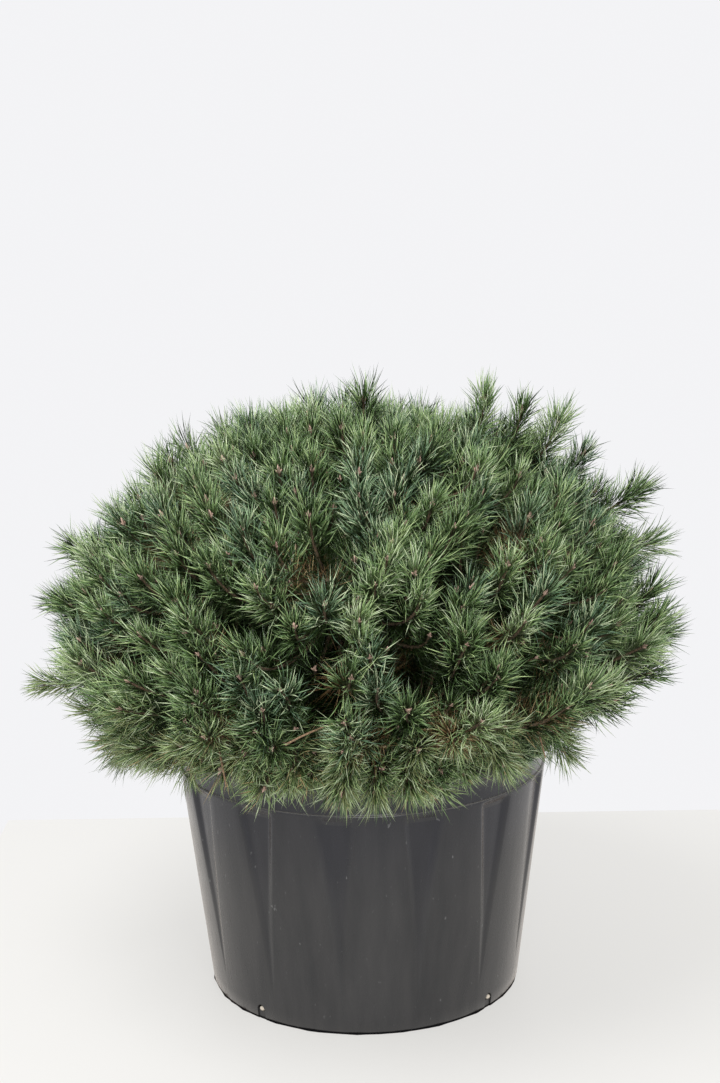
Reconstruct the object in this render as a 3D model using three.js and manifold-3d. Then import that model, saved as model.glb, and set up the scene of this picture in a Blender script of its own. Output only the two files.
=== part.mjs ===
// Potted watereri scots pine: a broad, dense dwarf pine in a fluted nursery pot.
// Units are millimetres and +Z is up. The origin is at the centre of the pot's flat underside,
// and the plant's front looks along -Y.

import * as THREE from 'three';
import { mergeVertices } from 'three/addons/utils/BufferGeometryUtils.js';
import Module from 'manifold-3d';

const wasm = await Module();
wasm.setup();

// Pot: a round wall that widens upward, a ledge, a hollow band that curves out, and a rolled rim.
const POT_HEIGHT = 490;
const POT_FOOT_RADIUS = 293;
const POT_FOOT_CHAMFER = 4;
const POT_LEDGE_RADIUS = 345;
const POT_LEDGE_HEIGHT = 430;
const POT_BAND_RADIUS = 338;
const POT_RIM_RADIUS = 368;
const POT_RIM_ROUND = 4;
const POT_WALL = 4;
const POT_FLOOR = 5;
// The band's curve, outward from its radius and upward from the ledge.
const POT_COVE = [[3, 0.3], [3, 16], [4, 28], [10, 40], [24, 48]];

// Flutes: recesses in the wall that start at a point near the foot and widen up to the ledge.
const FLUTES = 14;
const FLUTE_START = 60;
const FLUTE_DEPTH = 9;
const FLUTE_WIDTH = 0.53;
const FLUTE_POINT = 0.05;
const FLUTE_EDGE = 0.09;
const FLUTE_AZIMUTH = -8;
const FLUTE_COLUMNS = 5;

// Drain holes through the wall near the foot, each with a shallow groove down to the foot's edge.
const DRAINS = 4;
const DRAIN_AZIMUTH = 49.6;
const DRAIN_RADIUS = 7.5;
const DRAIN_HEIGHT = 22;
const DRAIN_SIDES = 8;
const DRAIN_CUT = 32;
const NOTCH_WIDTH = 18;
const NOTCH_DEPTH = 2.5;
const NOTCH_CUT = 16;

const SOIL_TOP = 455;
// Pieces that meet keep this small gap.
const GAP = 0.3;

// Trunk: a short, slightly leaning stem that runs up through the crown.
const TRUNK_LEAN = [[0, 0], [0, 0], [-24, 10], [6, 2]];
const TRUNK_TOP = 905;
const TRUNK_RADIUS = 30;
const TRUNK_TIP_RADIUS = 9;
const TRUNK_FLARE = 16;
const TRUNK_FLARE_HEIGHT = 26;
const TRUNK_LOBES = 5;
const TRUNK_LOBE_DEPTH = 0.14;
const TRUNK_STEPS = 10;

// Crown: a rounded dome about a heart point, flatter below than above.
const HEART_HEIGHT = 620;
const CROWN_RADIUS = 598;
const CROWN_RISE = 508;
const CROWN_DROP = 344;
const CROWN_SQUARENESS = 2.1;
const SKIRT_SIDE = -22;
const SKIRT_FRONT = -16;
const SKIRT_SWAY = 2.5;
// Below, the crown tucks in, more on the right than on the left.
const TUCK_START = 0.06;
const TUCK_DEPTH = 0.13;
const TUCK_MEAN = 0.155;
const TUCK_SWAY = 0.085;

// Rings of foliage masses: how many, the azimuth of the first, and where their middles lie.
const RINGS = [
  { name: 'skirt', count: 7, azimuth: 18.7, radius: 435, height: 600, leaves: 505, stagger: 78, bough: 14 },
  { name: 'middle', count: 6, azimuth: -8, radius: 345, height: 830, leaves: 620, stagger: 78, bough: 15 },
  { name: 'upper', count: 4, azimuth: 40, radius: 185, height: 985, leaves: 735, stagger: 125, bough: 11 },
];
const TOP_MASS_HEIGHT = 1030;
const BOUGH_TIP_RADIUS = 7;
const BOUGH_SIDES = 5;
const BOUGH_STEPS = 5;
const BOUGH_SAG = 0.16;
const BOUGH_STAGGER_TURN = 0.382;
const BOUGH_END = 135;

// Shoots: how many the crown carries, and the size of each one's brush of needles.
const SHOOTS = 440;
const SHOOT_SEED = 4171;
const SHOOT_ROUGHNESS = 0.08;
const SHOOT_SPACING = 82;
const SHOOT_JITTER = 0.3;
const SHOOT_SWAY = 0.22;
const SHOOT_LIFT = 0.45;
const GOLDEN_TURN = 360 * (1 - 2 / (1 + Math.sqrt(5)));
const BRUSH_LENGTH = 100;
const BRUSH_RADIUS = 52;
const BRUSH_TEETH = 3;
const SHORT_NEEDLE = 0.5;
const LONG_AT = 0.8;
const SHORT_AT = 0.6;
const TWIG_ROOT_RADIUS = 5;
const TWIG_TIP_RADIUS = 3.6;
const TWIG_RAKE = 0.8;
const TWIG_FIRST = 0.12;
const TWIG_LAST = 0.95;
const BORDER = 2;
const BORDER_TRIES = 12;
const BORDER_STEP = 8;

// Fringe: shoots that droop round the skirt's edge.
const FRINGE_SHOOTS = 62;
const FRINGE_SEED = 733;
const FRINGE_SCATTER = 0.6;
const FRINGE_RISE = 0.085;
const FRINGE_FALL = 0.03;
const FRINGE_ROUGHNESS = 0.12;
const FRINGE_DROOP = 0.42;
const FRINGE_LEAST = 0.4;

// Shoots that reach past the dome: tip, and the way they point.
const OUTLYING_SHOOTS = [
  { tip: [12, -40, 1150], along: [0, 0, 1] },
  { tip: [231, -30, 1147], along: [0.05, 0, 1] },
  { tip: [304, -20, 1122], along: [0.15, 0, 1] },
  { tip: [377, -10, 1099], along: [0.3, 0, 1] },
  { tip: [441, 60, 1024], along: [0.6, 0, 1] },
  { tip: [543, 0, 948], along: [1, 0, 0.7] },
  { tip: [577, 30, 835], along: [1, 0, 0.35] },
  { tip: [595, -20, 668], along: [1, 0, 0.2] },
  { tip: [-632, -20, 585], along: [-1, 0, 0.05] },
  { tip: [-566, 40, 843], along: [-1, 0, 0.5] },
  { tip: [-600, 30, 735], along: [-1, 0, 0.2] },
  { tip: [-472, -40, 424], along: [-0.7, -0.1, -0.7] },
  { tip: [-308, -300, 462], along: [-0.2, -0.2, -1] },
  { tip: [-34, -490, 484], along: [0, -0.6, -0.8] },
  { tip: [24, -484, 482], along: [0.1, -0.6, -0.8] },
  { tip: [84, -470, 484], along: [0.2, -0.5, -0.8] },
  { tip: [250, -400, 505], along: [0.4, -0.5, -0.8] },
  { tip: [379, -200, 461], along: [0.5, -0.3, -0.8] },
  { tip: [-201, 0, 1092], along: [-0.15, 0, 1] },
];

// Gaps that show between the front masses: x, height and radius of each.
const CROWN_GAPS = [[-51, 784, 42], [-78, 660, 38], [115, 695, 34], [-194, 938, 30], [164, 927, 30]];

// Core of a mass: it fills the mass's space between two depths below the crown's surface.
const CORE_REACH = 230;
const CORE_STEP = 5;
const CORE_BORDER = 8;
const CORE_COVER = 66;
const CORE_DEPTH = 265;
const STEM_REACH = 50;
const STEM_TURN = 0.45;
const STEM_PLACES = 20;
const STEM_RADIUS = 6.5;
const STEM_TIP_RADIUS = 4;
const STEM_SIDES = 5;
const STEM_STEPS = 3;

// Space that foliage keeps clear of, round each limb and over the pot.
const LIMB_CLEARANCE = 2;
const POT_CLEARANCE = 8;
const POT_SPACE_SIDES = 24;

const POT_PLASTIC = new THREE.MeshStandardMaterial({ color: 0x3a3a3b, roughness: 0.6, metalness: 0 });
const SOIL = new THREE.MeshStandardMaterial({ color: 0x3b2c20, roughness: 0.98, metalness: 0 });
const BARK = new THREE.MeshStandardMaterial({ color: 0x6f5541, roughness: 0.9, metalness: 0 });
const NEEDLES = new THREE.MeshStandardMaterial({ color: 0x5b7350, roughness: 0.65, metalness: 0 });

const UP = new THREE.Vector3(0, 0, 1);
const BACK = new THREE.Vector3(0, 1, 0);
const STEEP = 0.9;
const DEGREE = Math.PI / 180;
const TURN = 2 * Math.PI;

// Azimuths are counted from the front (-Y), positive toward +X.
function around(azimuth, radius, height) {
  const angle = azimuth * DEGREE;
  return new THREE.Vector3(radius * Math.sin(angle), -radius * Math.cos(angle), height);
}

// A small repeatable generator of numbers between 0 and 1.
function seeded(seed) {
  let state = seed;
  return () => {
    state = (state * 16807) % 2147483647;
    return state / 2147483647;
  };
}

function toSolid(geometry) {
  const bare = geometry.clone();
  bare.deleteAttribute('normal');
  bare.deleteAttribute('uv');
  const merged = mergeVertices(bare, 1e-4);
  const vertProperties = new Float32Array(merged.attributes.position.array);
  const triVerts = new Uint32Array(merged.index.array);
  return new wasm.Manifold(new wasm.Mesh({ numProp: 3, vertProperties, triVerts }));
}

function toMesh(name, solid, material) {
  const { vertProperties, triVerts } = solid.getMesh();
  const geometry = new THREE.BufferGeometry();
  geometry.setAttribute('position', new THREE.BufferAttribute(vertProperties, 3));
  geometry.setIndex(new THREE.BufferAttribute(triVerts, 1));
  geometry.computeVertexNormals();
  const mesh = new THREE.Mesh(geometry, material);
  mesh.name = name;
  return mesh;
}

function fuse(solids) {
  return solids.reduce((whole, solid) => whole.add(solid));
}

// Keeps the largest closed shell, which drops loose scraps and fills sealed hollows.
function largestShell(solid) {
  const { vertProperties, triVerts } = solid.getMesh();
  const shellOf = Array.from({ length: vertProperties.length / 3 }, (_, i) => i);
  const find = (i) => {
    while (shellOf[i] !== i) i = shellOf[i] = shellOf[shellOf[i]];
    return i;
  };
  const corner = (i) => new THREE.Vector3().fromArray(vertProperties, 3 * triVerts[i]);
  const volumes = new Map();
  for (let i = 0; i < triVerts.length; i += 3) {
    shellOf[find(triVerts[i + 1])] = find(triVerts[i]);
    shellOf[find(triVerts[i + 2])] = find(triVerts[i]);
  }
  for (let i = 0; i < triVerts.length; i += 3) {
    const shell = find(triVerts[i]);
    const volume = corner(i).dot(corner(i + 1).cross(corner(i + 2))) / 6;
    volumes.set(shell, (volumes.get(shell) ?? 0) + volume);
  }
  const [largest] = [...volumes].reduce((best, entry) => (entry[1] > best[1] ? entry : best));
  const kept = [];
  for (let i = 0; i < triVerts.length; i += 3) {
    if (find(triVerts[i]) === largest) kept.push(triVerts[i], triVerts[i + 1], triVerts[i + 2]);
  }
  const geometry = new THREE.BufferGeometry();
  geometry.setAttribute('position', new THREE.BufferAttribute(vertProperties, 3));
  geometry.setIndex(kept);
  return toSolid(geometry.toNonIndexed());
}

// How far up its flute a point is, from 0 at the flute's point to 1 at the ledge.
function fluteRise(height) {
  if (height > POT_LEDGE_HEIGHT) return 0;
  return THREE.MathUtils.clamp((height - FLUTE_START) / (POT_LEDGE_HEIGHT - FLUTE_START), 0, 1);
}

// Turns a wall profile about the pot's axis, and presses the flutes into it. The profile of a wall
// seen from outside runs upward. One that runs downward, like the pot's inside, is turned over.
function flutedTurn(profile, runsDownward = false) {
  const columns = FLUTES * FLUTE_COLUMNS;
  const geometry = new THREE.LatheGeometry(profile.map(([r, z]) => new THREE.Vector2(r, z)), columns);
  geometry.rotateX(Math.PI / 2);
  const position = geometry.attributes.position;
  for (let i = 0; i < position.count; i++) {
    const radius = Math.hypot(position.getX(i), position.getY(i));
    const height = position.getZ(i);
    const column = Math.floor(i / profile.length) % columns;
    const flute = Math.floor(column / FLUTE_COLUMNS);
    const rise = fluteRise(Math.min(height, POT_LEDGE_HEIGHT));
    const half = THREE.MathUtils.lerp(FLUTE_POINT, FLUTE_WIDTH, rise) / 2;
    const edge = Math.min(FLUTE_EDGE, half);
    const places = [-0.5, -half, edge - half, half - edge, half];
    const inFlute = column % FLUTE_COLUMNS === 2 || column % FLUTE_COLUMNS === 3;
    const pressed = inFlute && radius > 0 ? radius - FLUTE_DEPTH * fluteRise(height) : radius;
    const turn = (flute + places[column % FLUTE_COLUMNS]) / FLUTES;
    const point = around(FLUTE_AZIMUTH + 360 * turn, pressed, height);
    position.setXYZ(i, point.x, point.y, point.z);
  }
  if (runsDownward) geometry.index.array.reverse();
  return toSolid(geometry);
}

function buildPot() {
  const shell = flutedTurn([
    [0, 0],
    [POT_FOOT_RADIUS - POT_FOOT_CHAMFER, 0],
    [POT_FOOT_RADIUS, POT_FOOT_CHAMFER],
    [wallRadius(FLUTE_START), FLUTE_START],
    [POT_LEDGE_RADIUS, POT_LEDGE_HEIGHT],
    ...POT_COVE.map(([out, up]) => [POT_BAND_RADIUS + out, POT_LEDGE_HEIGHT + up]),
    [POT_RIM_RADIUS, POT_HEIGHT - 2 * POT_RIM_ROUND],
    [POT_RIM_RADIUS, POT_HEIGHT - POT_RIM_ROUND],
    [POT_RIM_RADIUS - POT_RIM_ROUND, POT_HEIGHT],
    [POT_BAND_RADIUS - POT_WALL, POT_HEIGHT],
    [POT_BAND_RADIUS - POT_WALL, POT_LEDGE_HEIGHT + POT_WALL],
    [POT_LEDGE_RADIUS - POT_WALL, POT_LEDGE_HEIGHT],
    [wallRadius(FLUTE_START) - POT_WALL, FLUTE_START],
    [wallRadius(POT_FLOOR) - POT_WALL, POT_FLOOR],
    [0, POT_FLOOR],
  ]);
  return cutDrains(shell);
}

function wallRadius(height) {
  return THREE.MathUtils.lerp(POT_FOOT_RADIUS, POT_LEDGE_RADIUS, height / POT_LEDGE_HEIGHT);
}

function cutDrains(shell) {
  let pot = shell;
  for (let i = 0; i < DRAINS; i++) {
    const azimuth = DRAIN_AZIMUTH + (360 * i) / DRAINS;
    const hole = new THREE.CylinderGeometry(DRAIN_RADIUS, DRAIN_RADIUS, DRAIN_CUT, DRAIN_SIDES);
    const notch = new THREE.BoxGeometry(NOTCH_WIDTH, NOTCH_CUT, 2 * DRAIN_HEIGHT);
    notch.rotateX(Math.atan2(POT_LEDGE_RADIUS - POT_FOOT_RADIUS, POT_LEDGE_HEIGHT));
    pot = pot.subtract(cutterAt(hole, azimuth, POT_FOOT_RADIUS, DRAIN_HEIGHT));
    pot = pot.subtract(cutterAt(notch, azimuth, POT_FOOT_RADIUS - NOTCH_DEPTH + NOTCH_CUT / 2, 0));
  }
  return pot;
}

function cutterAt(geometry, azimuth, radius, height) {
  geometry.rotateZ(azimuth * DEGREE);
  geometry.translate(...around(azimuth, radius, height));
  return toSolid(geometry);
}

// The pot with its inside, grown all round by the clearance that foliage keeps to it.
function potSpace() {
  const radius = POT_RIM_RADIUS + POT_CLEARANCE;
  const space = new THREE.CylinderGeometry(radius, radius, POT_HEIGHT, POT_SPACE_SIDES);
  space.rotateX(Math.PI / 2);
  space.translate(0, 0, POT_HEIGHT / 2 + POT_CLEARANCE);
  return toSolid(space);
}

// The potting soil follows the inside of the wall, a small gap clear of it.
function buildSoil() {
  const inset = POT_WALL + GAP;
  return flutedTurn([
    [0, SOIL_TOP],
    [POT_BAND_RADIUS - inset, SOIL_TOP],
    [POT_BAND_RADIUS - inset, POT_LEDGE_HEIGHT + POT_WALL],
    [POT_LEDGE_RADIUS - inset, POT_LEDGE_HEIGHT],
    [wallRadius(FLUTE_START) - inset, FLUTE_START],
    [wallRadius(POT_FLOOR) - inset, POT_FLOOR + GAP],
    [0, POT_FLOOR + GAP],
  ], true);
}

// A tapering limb: a unit cylinder laid along a curve, with its radius given by place and angle.
// Its growth makes it thicker and longer all round, for the space that others keep clear of.
function limb(curve, radiusAt, sides, steps, side, growth = 0) {
  const geometry = new THREE.CylinderGeometry(1, 1, 1, sides, steps);
  const position = geometry.attributes.position;
  const spot = new THREE.Vector3();
  for (let i = 0; i < position.count; i++) {
    spot.fromBufferAttribute(position, i);
    const along = THREE.MathUtils.clamp(spot.y + 0.5, 0, 1);
    const angle = Math.atan2(spot.z, spot.x);
    const reach = Math.hypot(spot.x, spot.z) > 0.5 ? radiusAt(along, angle) + growth : 0;
    const tangent = curve.getTangent(along);
    const across = new THREE.Vector3().crossVectors(tangent, side).normalize();
    const over = new THREE.Vector3().crossVectors(across, tangent);
    const point = curve.getPoint(along);
    if (along === 0 || along === 1) point.addScaledVector(tangent, growth * (2 * along - 1));
    point.addScaledVector(across, -reach * Math.cos(angle));
    point.addScaledVector(over, -reach * Math.sin(angle));
    position.setXYZ(i, point.x, point.y, point.z);
  }
  return toSolid(geometry);
}

const trunkCurve = new THREE.CubicBezierCurve3(...TRUNK_LEAN.map(([x, y], i) => {
  const height = THREE.MathUtils.lerp(SOIL_TOP + GAP, TRUNK_TOP, i / (TRUNK_LEAN.length - 1));
  return new THREE.Vector3(x, y, height);
}));

function trunkRadius(along, angle) {
  const height = along * (TRUNK_TOP - SOIL_TOP);
  const flare = Math.exp(-height / TRUNK_FLARE_HEIGHT);
  const lobes = 1 + TRUNK_LOBE_DEPTH * flare * Math.cos(TRUNK_LOBES * angle);
  return (THREE.MathUtils.lerp(TRUNK_RADIUS, TRUNK_TIP_RADIUS, along) + TRUNK_FLARE * flare) * lobes;
}

function buildTrunk(growth) {
  return limb(trunkCurve, trunkRadius, 2 * TRUNK_LOBES, TRUNK_STEPS, BACK, growth);
}

// The crown's surface in a direction from the heart: a squared dome, tucked in below.
function crownReach(direction) {
  const level = Math.hypot(direction.x, direction.y);
  const rise = Math.abs(direction.z) / (direction.z > 0 ? CROWN_RISE : CROWN_DROP);
  const reach = (level / CROWN_RADIUS) ** CROWN_SQUARENESS + rise ** CROWN_SQUARENESS;
  const tuck = THREE.MathUtils.clamp((TUCK_START - direction.z) / TUCK_DEPTH, 0, 1);
  const sway = level > 0 ? direction.x / level : 0;
  return reach ** (-1 / CROWN_SQUARENESS) * (1 - tuck * (TUCK_MEAN + TUCK_SWAY * sway));
}

const heart = new THREE.Vector3(0, 0, HEART_HEIGHT);

// Every mass has a middle, a place where its bough leaves the trunk, and its bough's curve.
function placeMasses() {
  const masses = [];
  for (const ring of RINGS) {
    for (let i = 0; i < ring.count; i++) {
      const azimuth = ring.azimuth + (360 * i) / ring.count;
      const middle = around(azimuth, ring.radius, ring.height);
      masses.push({ name: `${ring.name}_${i + 1}`, middle, ring, order: i });
    }
  }
  masses.push({ name: 'top', middle: new THREE.Vector3(0, 0, TOP_MASS_HEIGHT) });
  return masses;
}

// The boughs of a ring leave the trunk at staggered heights, so that neighbours stay apart.
function boughCurve(mass) {
  const stagger = mass.ring.stagger * ((mass.order * BOUGH_STAGGER_TURN) % 1);
  const leaves = trunkCurve.getPoint((mass.ring.leaves - SOIL_TOP + stagger) / (TRUNK_TOP - SOIL_TOP));
  const inward = new THREE.Vector3().subVectors(leaves, mass.middle).setLength(BOUGH_END);
  const end = mass.middle.clone().add(inward);
  const bend = new THREE.Vector3().lerpVectors(leaves, end, 0.5);
  bend.z -= leaves.distanceTo(end) * BOUGH_SAG;
  return new THREE.QuadraticBezierCurve3(leaves, bend, end);
}

// The stem grows on from its bough's tip, or the trunk's, and turns outward through the mass.
function stemCurve(mass) {
  const limbCurve = mass.curve ?? trunkCurve;
  const growing = limbCurve.getTangent(1);
  const start = limbCurve.getPoint(1).addScaledVector(growing, GAP);
  const outward = new THREE.Vector3().subVectors(mass.middle, heart).normalize();
  const end = mass.middle.clone().addScaledVector(outward, STEM_REACH);
  const turn = start.clone().addScaledVector(growing, STEM_TURN * start.distanceTo(end));
  return new THREE.QuadraticBezierCurve3(start, turn, end);
}

function buildBough(mass, growth) {
  const radiusAt = (along) => THREE.MathUtils.lerp(mass.ring.bough, BOUGH_TIP_RADIUS, along);
  return limb(mass.curve, radiusAt, BOUGH_SIDES, BOUGH_STEPS, UP, growth);
}

// The mass that a point belongs to is the one whose middle is nearest.
function borderDistance(point, mass, masses) {
  let nearest = Infinity;
  for (const other of masses) {
    if (other === mass) continue;
    const away = new THREE.Vector3().subVectors(other.middle, mass.middle);
    const halfway = away.length() / 2;
    const along = new THREE.Vector3().subVectors(point, mass.middle).dot(away.normalize());
    nearest = Math.min(nearest, halfway - along);
  }
  return nearest;
}

function nearestMass(point, masses) {
  const away = (mass) => point.distanceTo(mass.middle);
  return masses.reduce((best, mass) => (away(mass) < away(best) ? mass : best));
}

function inGap(point) {
  return point.y < 0 && CROWN_GAPS.some(([x, z, radius]) => Math.hypot(point.x - x, point.z - z) < radius);
}

// The sine of the skirt's angle below the heart, less steep in front.
function lowestClimb(azimuth) {
  const frontness = (0.5 + 0.5 * Math.cos(azimuth * DEGREE)) ** 2;
  const angle = THREE.MathUtils.lerp(SKIRT_SIDE, SKIRT_FRONT, frontness);
  return Math.sin((angle - SKIRT_SWAY * Math.sin(2 * azimuth * DEGREE)) * DEGREE);
}

function crownPoint(azimuth, climb, part) {
  const direction = around(azimuth, Math.sqrt(1 - climb * climb), climb);
  return { direction, tip: heart.clone().addScaledVector(direction, crownReach(direction) * part) };
}

// Shoots stand on the dome in a spiral, lean upward on top and outward below.
function spiralShoots() {
  const random = seeded(SHOOT_SEED);
  const shoots = [];
  for (let i = 0; i < SHOOTS; i++) {
    const azimuth = i * GOLDEN_TURN + (SHOOT_JITTER / DEGREE) * (random() - 0.5);
    const climb = THREE.MathUtils.lerp(lowestClimb(azimuth), 1, (i + random()) / SHOOTS);
    const { direction, tip } = crownPoint(azimuth, climb, 1 - SHOOT_ROUGHNESS * random());
    const sway = new THREE.Vector3(2 * random() - 1, 2 * random() - 1, 2 * random() - 1);
    const along = direction.clone().addScaledVector(UP, SHOOT_LIFT * (1 + climb) ** 2);
    shoots.push({ tip, along: along.addScaledVector(sway, SHOOT_SWAY).normalize() });
  }
  return shoots;
}

function fringeShoots() {
  const random = seeded(FRINGE_SEED);
  const shoots = [];
  for (let i = 0; i < FRINGE_SHOOTS; i++) {
    const azimuth = (360 * (i + FRINGE_SCATTER * (random() - 0.5))) / FRINGE_SHOOTS;
    const climb = lowestClimb(azimuth) + FRINGE_RISE * random() - FRINGE_FALL;
    const { direction, tip } = crownPoint(azimuth, climb, 1 - FRINGE_ROUGHNESS * random());
    const along = direction.clone().addScaledVector(UP, -FRINGE_DROOP * (FRINGE_LEAST + random()));
    shoots.push({ tip, along: along.normalize() });
  }
  return shoots;
}

function placeShoots() {
  const outlying = OUTLYING_SHOOTS.map(({ tip, along }) => (
    { tip: new THREE.Vector3(...tip), along: new THREE.Vector3(...along).normalize() }
  ));
  const shoots = [...outlying, ...fringeShoots(), ...spiralShoots()];
  return shoots.filter((shoot) => !inGap(shoot.tip));
}

// A spray is one closed shape: a three-sided twig that opens into a brush of needles, with long
// needles between short ones. The twig leaves the mass's stem some way back and runs straight.
function buildSpray(mass, shoot) {
  const base = shoot.tip.clone().addScaledVector(shoot.along, -BRUSH_LENGTH);
  const root = twigRoot(mass, base);
  const rings = [
    ring(root, new THREE.Vector3().subVectors(base, root).normalize(), [TWIG_ROOT_RADIUS], BRUSH_TEETH),
    ring(base, shoot.along, [TWIG_TIP_RADIUS], BRUSH_TEETH),
    needleRing(base, shoot.along),
    [shoot.tip],
  ];
  const [roots, necks, needles] = rings.map((points, i) => rings.slice(0, i).flat().length);
  const tip = needles + 2 * BRUSH_TEETH;
  const faces = [roots, roots + 2, roots + 1];
  for (let i = 0; i < BRUSH_TEETH; i++) {
    const next = (i + 1) % BRUSH_TEETH;
    const long = needles + 2 * i;
    const short = long + 1;
    const nextLong = needles + 2 * next;
    faces.push(roots + i, roots + next, necks + next, roots + i, necks + next, necks + i);
    faces.push(necks + i, short, long, necks + i, necks + next, short, necks + next, nextLong, short);
    faces.push(long, short, tip, short, nextLong, tip);
  }
  const geometry = new THREE.BufferGeometry().setFromPoints(rings.flat());
  geometry.setIndex(faces);
  return toSolid(geometry);
}

function twigRoot(mass, base) {
  const places = Array.from({ length: STEM_PLACES + 1 }, (_, i) => i / STEM_PLACES);
  const away = (place) => mass.stem.getPoint(place).distanceTo(base);
  const foot = places.reduce((best, place) => (away(place) < away(best) ? place : best));
  const back = foot - (TWIG_RAKE * away(foot)) / mass.stem.v0.distanceTo(mass.stem.v2);
  return mass.stem.getPoint(THREE.MathUtils.clamp(back, TWIG_FIRST, TWIG_LAST));
}

// Points round an axis, each at the next of the given radii.
function ring(middle, axis, radii, count) {
  const side = Math.abs(axis.z) > STEEP ? BACK : UP;
  const across = new THREE.Vector3().crossVectors(axis, side).normalize();
  const points = [];
  for (let i = 0; i < count; i++) {
    const spoke = across.clone().applyAxisAngle(axis, (TURN * i) / count);
    points.push(middle.clone().addScaledVector(spoke, radii[i % radii.length]));
  }
  return points;
}

function needleRing(base, along) {
  const points = ring(base, along, [BRUSH_RADIUS, BRUSH_RADIUS * SHORT_NEEDLE], 2 * BRUSH_TEETH);
  points.forEach((point, i) => point.addScaledVector(along, BRUSH_LENGTH * (i % 2 ? SHORT_AT : LONG_AT)));
  return points;
}

// The core fills the mass's own space under the brushes.
function buildCore(mass, masses) {
  const geometry = new THREE.IcosahedronGeometry(1, 1);
  const position = geometry.attributes.position;
  const direction = new THREE.Vector3();
  for (let i = 0; i < position.count; i++) {
    direction.fromBufferAttribute(position, i).normalize();
    let reach = CORE_REACH;
    const point = mass.middle.clone().addScaledVector(direction, reach);
    while (reach > CORE_STEP && !coreHolds(point, mass, masses)) {
      reach -= CORE_STEP;
      point.addScaledVector(direction, -CORE_STEP);
    }
    position.setXYZ(i, point.x, point.y, point.z);
  }
  return toSolid(geometry);
}

function coreHolds(point, mass, masses) {
  const fromHeart = new THREE.Vector3().subVectors(point, heart);
  const depth = crownReach(fromHeart.clone().normalize()) - fromHeart.length();
  if (depth < CORE_COVER || depth > CORE_DEPTH || inGap(point)) return false;
  return borderDistance(point, mass, masses) > CORE_BORDER;
}

function pointsOf(solid) {
  const { vertProperties, numProp } = solid.getMesh();
  const points = [];
  for (let i = 0; i < vertProperties.length; i += numProp) {
    points.push(new THREE.Vector3(vertProperties[i], vertProperties[i + 1], vertProperties[i + 2]));
  }
  return points;
}

// Draws a shoot back over the border of its mass's space until its spray lies inside.
function placeInside(shoot, mass, masses) {
  for (let tries = 0; tries < BORDER_TRIES; tries++) {
    const spray = buildSpray(mass, shoot);
    if (pointsOf(spray).every((point) => borderDistance(point, mass, masses) > BORDER)) return spray;
    const inward = new THREE.Vector3().subVectors(mass.middle, shoot.tip);
    shoot.tip.add(inward.addScaledVector(shoot.along, -inward.dot(shoot.along)).setLength(BORDER_STEP));
  }
  return null;
}

// A mass is its stem, its core and the sprays that find room clear of each other and the limbs.
function buildMass(mass, masses, shoots, keptClear) {
  const stemRadius = (along) => THREE.MathUtils.lerp(STEM_RADIUS, STEM_TIP_RADIUS, along);
  const stem = limb(mass.stem, stemRadius, STEM_SIDES, STEM_STEPS, mass.ring ? UP : BACK);
  const parts = [stem, buildCore(mass, masses).subtract(keptClear)];
  const placed = [];
  for (const shoot of shoots) {
    const spray = placeInside(shoot, mass, masses);
    const crowded = placed.some((other) => other.tip.distanceTo(shoot.tip) < SHOOT_SPACING);
    if (!spray || crowded || !spray.intersect(keptClear).isEmpty()) continue;
    placed.push(shoot);
    parts.push(spray);
  }
  return largestShell(fuse(parts));
}

const plant = new THREE.Group();
plant.name = 'potted_watereri_scots_pine';
plant.add(toMesh('pot', buildPot(), POT_PLASTIC));
plant.add(toMesh('soil', buildSoil(), SOIL));
plant.add(toMesh('trunk', buildTrunk(0), BARK));

const masses = placeMasses();
for (const mass of masses) {
  if (mass.ring) mass.curve = boughCurve(mass);
  mass.stem = stemCurve(mass);
}

const boughs = masses.filter((mass) => mass.ring);
const nearTrunk = buildTrunk(GAP);
for (const mass of boughs) {
  const bough = buildBough(mass, 0).subtract(nearTrunk);
  plant.add(toMesh(`bough_${mass.name}`, largestShell(bough), BARK));
}

const limbSpace = boughs.map((mass) => buildBough(mass, LIMB_CLEARANCE));
const keptClear = fuse([potSpace(), buildTrunk(LIMB_CLEARANCE), ...limbSpace]);
const shoots = placeShoots();
for (const mass of masses) {
  const own = shoots.filter((shoot) => nearestMass(shoot.tip, masses) === mass);
  plant.add(toMesh(`foliage_${mass.name}`, buildMass(mass, masses, own, keptClear), NEEDLES));
}

export default plant;
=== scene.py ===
import math
import random

import bmesh
import bpy
import numpy as np
from mathutils import Matrix, Vector


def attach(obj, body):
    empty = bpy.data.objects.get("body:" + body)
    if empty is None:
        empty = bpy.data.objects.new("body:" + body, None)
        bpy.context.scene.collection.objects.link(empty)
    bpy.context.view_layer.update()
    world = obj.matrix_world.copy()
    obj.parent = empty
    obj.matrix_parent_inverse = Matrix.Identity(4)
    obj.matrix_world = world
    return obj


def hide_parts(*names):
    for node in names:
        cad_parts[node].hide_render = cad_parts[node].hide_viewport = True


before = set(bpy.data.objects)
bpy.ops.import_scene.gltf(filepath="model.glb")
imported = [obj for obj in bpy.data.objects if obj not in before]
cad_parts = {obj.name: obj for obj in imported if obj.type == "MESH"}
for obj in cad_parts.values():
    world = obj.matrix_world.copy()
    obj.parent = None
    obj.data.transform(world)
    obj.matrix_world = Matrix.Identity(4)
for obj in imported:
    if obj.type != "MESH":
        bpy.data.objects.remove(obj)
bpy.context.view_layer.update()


# Camera: the view of a 62 mm lens on an upright full frame, from 1.5 m above the floor and 3.36 m
# in front of the pot's axis. It looks down by 11.5 degrees, with the photograph's slight roll.
EYE = Vector((0.0013, -3.3585, 1.5262))
PITCH = 0.2012
ROLL = -0.0149
FOCAL_PIXELS = 1850
PHOTO_WIDTH = 720
SENSOR_WIDTH = 36


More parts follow.
